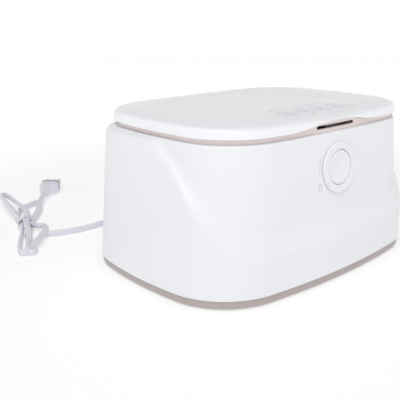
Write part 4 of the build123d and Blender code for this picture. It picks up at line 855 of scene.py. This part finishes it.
def twinSection(look):
    # two cores side by side with a groove between, anticlockwise
    radius = look["thickness"] / 2
    offset = look["width"] / 2 - radius
    dip = radius - look["groove"]
    right = [(offset + radius * cos(radians(a)), radius * sin(radians(a))) for a in look["coreTurns"]]
    left = [(-x, y) for x, y in reversed(right)]
    return right + [(0, dip)] + left + [(0, -dip)]


def sweptAlong(path, section, rollAt):
    # rings of the section along the path, each rolled as far as rollAt says
    rings = []
    for k, here in enumerate(path):
        along = (path[min(k + 1, len(path) - 1)] - path[max(k - 1, 0)]).normalized()
        across = along.cross(Vector((0, 0, 1))).normalized()
        turned = Matrix.Rotation(radians(rollAt(k / (len(path) - 1))), 3, along)
        wide, high = turned @ across, turned @ across.cross(along)
        rings.append([here + wide * x + high * y for x, y in reversed(section)])
    return rings


def rollBetween(values, share):
    # eases from one roll to the next
    spot = share * (len(values) - 1)
    low = min(int(spot), len(values) - 2)
    ease = spot - low
    return values[low] + (values[low + 1] - values[low]) * ease * ease * (3 - 2 * ease)


look = cordLook
cordPath = splinePath("cordRoute", look["route"], look["fineness"])
rolls = [point[3] for point in look["route"]]
cordRings = sweptAlong(cordPath, twinSection(look), lambda share: rollBetween(rolls, share))
cord = meshObject("cord", *joined(cordRings, capped=True))
finished(cord, "housing", "white_vinyl", "power_cord", "cord_hank", "plug_lead")

# boot where the lead leaves the wall, ribbed so that it bends
bootLook = {
    "wallY": 87.9,
    # radius and distance out from the wall
    "sleeve": [(4.1, -3.2), (4.1, 0.3), (4.9, 0.55), (5.15, 0.9), (5.2, 1.4), (5.2, 3.2), (5.0, 4.1), (4.72, 5.2),
               (4.4, 9.0), (4.05, 13.0), (3.7, 17.0), (3.42, 20.6), (3.3, 21.4), (3.05, 21.9), (2.6, 22.1)],
    "firstRib": 6.6, "ribs": 5, "pitch": 3.1, "firstRadius": 4.62, "lastRadius": 3.5, "bead": 0.62, "steps": 48,
}
look = bootLook
sleeve = latheRings([(radius, height - look["firstRib"]) for radius, height in look["sleeve"]], look["steps"],
                    lambda *point: Vector(point))
boot = ribbed(meshObject("boot", *joined(sleeve, capped=True)), look)
exitX, exitZ = housingLook["bootX"], housingLook["bootZ"]
placed(boot, lambda x, y, z: Vector((exitX - x, look["wallY"] + look["firstRib"] + z, exitZ + y)))
finished(boot, "housing", "white_vinyl", "strain_relief")

# plug: ribbed neck, round shoulders, flat sides and a lip round its face
plugLook = {
    "centre": (-51.8, 263.8, 6.8), "heading": 50.5,
    # distance along the plug, half height, half width, corner
    "sections": [(-26.0, 2.6, 2.6, 2.6), (-25.8, 3.1, 3.1, 3.1), (-25.2, 3.4, 3.4, 3.4), (-22.0, 3.6, 3.7, 3.6),
                 (-16.0, 4.0, 4.4, 4.0), (-13.0, 4.3, 5.1, 4.2), (-11.6, 4.5, 5.8, 4.3), (-10.6, 4.7, 6.5, 4.4),
                 (-9.6, 4.95, 7.2, 4.5), (-8.2, 5.3, 8.0, 4.5), (-6.4, 5.7, 8.7, 4.4), (-4.0, 6.1, 9.3, 4.2),
                 (-1.0, 6.3, 9.5, 4.0), (1.0, 6.3, 9.5, 3.8), (4.2, 6.2, 9.4, 3.8), (4.5, 6.0, 9.2, 3.6),
                 (4.6, 5.2, 8.4, 2.8), (8.0, 5.2, 8.4, 2.8), (8.1, 6.3, 9.5, 3.5), (8.4, 6.5, 9.7, 3.8),
                 (10.3, 6.5, 9.7, 3.8), (10.75, 6.4, 9.6, 3.7), (10.97, 6.15, 9.35, 3.45), (11.0, 5.8, 9.0, 3.1)],
    # the same measures for a dark band that fills the groove behind the face: painted shade where the groove's shadow
    # falls
    "grooveShade": [(4.7, 5.0, 8.2, 2.6), (4.72, 6.05, 9.25, 3.6), (7.9, 6.05, 9.25, 3.6), (7.92, 5.0, 8.2, 2.6)],
    # colour, shade and rough are the dark band's; its darkness is painted shade, while the plug itself stays white
    # vinyl
    "colour": tone(128, 126, 132), "shade": tone(120, 118, 125), "rough": 0.5, "slack": 0.01, "cornerSteps": 8,
    "firstRib": -24.2, "ribs": 4, "pitch": 2.4, "firstRadius": 3.4, "lastRadius": 3.8, "bead": 0.42,
}
look = plugLook
along = Vector((cos(radians(look["heading"])), sin(radians(look["heading"])), 0))
aside = Vector((along.y, -along.x, 0))


def plugShape(sections, look):
    rings = [[(x, y, z - look["firstRib"]) for x, y in
              roundedBox(halfX, halfY, corner - look["slack"], look["cornerSteps"])]
             for z, halfX, halfY, corner in sections]
    return joined(rings, capped=True)


def onPlug(x, y, z):
    # point given up, aside and along from the plug's first rib
    return Vector(plugLook["centre"]) + Vector((0, 0, x)) + aside * y + along * (z + plugLook["firstRib"])


plug = placed(ribbed(meshObject("plug", *plugShape(look["sections"], look)), look), onPlug)
finished(plug, "housing", "white_vinyl", "plug_body")
# a dark band in the groove behind the face, painted shade standing in for the groove's shadow
plugGrooveShade = placed(meshObject("plugGrooveShade", *plugShape(look["grooveShade"], look)), onPlug)
finished(plugGrooveShade, "housing", "white_vinyl", finish=mouldedPlastic("plug seam plastic", look))

# tie: a flat band twice round the middle of the hank, its two turns crossed
tieLook = {
    "middle": (-120.0, 174.0), "axis": 62.0, "width": 2.6, "thickness": 0.8, "tilts": (9.0, -9.0), "steps": 44,
    "reach": 2.0, "spread": 7.5, "slack": 0.15, "layer": 0.6,
    # least height of the band's four edges over the table
    "floor": (0.1, 0.12, 0.14, 0.16),
    "colour": tone(224, 224, 231), "shade": tone(215, 215, 223), "rough": 0.4, "edge": thinEdge,
}
look = tieLook
waist = Vector((*look["middle"], 0))
waistAlong = Vector((cos(radians(look["axis"])), sin(radians(look["axis"])), 0))
waistAcross = Vector((-waistAlong.y, waistAlong.x, 0))
flat = [((point - waist).dot(waistAcross), point.z) for ring in cordRings for point in ring
        if abs((point - waist).dot(waistAlong)) < look["reach"]
        and abs((point - waist).dot(waistAcross)) < look["spread"]]
bands = []
for layer, tilt in enumerate(look["tilts"]):
    bandRings = []
    for k in range(look["steps"]):
        turn = 2 * pi * k / look["steps"]
        farthest = max(flat, key=lambda spot: spot[0] * cos(turn) + spot[1] * sin(turn))
        outer = look["slack"] + layer * look["layer"]
        u, z = farthest[0] + outer * cos(turn), farthest[1] + outer * sin(turn)
        middle = waist + waistAcross * u + waistAlong * (u * sin(radians(tilt))) + Vector((0, 0, z))
        out = (waistAcross * cos(turn) + Vector((0, 0, sin(turn)))) * look["thickness"]
        edge = waistAlong * look["width"] / 2
        ring = [middle - edge, middle - edge + out, middle + edge + out, middle + edge]
        bandRings.append([Vector((point.x, point.y, max(point.z, least)))
                          for point, least in zip(ring, look["floor"])])
    bands.append(meshObject("band", *joined(bandRings, closed=True)))
tie = merged("tie", *bands)
finished(tie, "housing", "white_vinyl", "cord_tie", finish=mouldedPlastic("tie plastic", look))
print("boot, plug and tie")
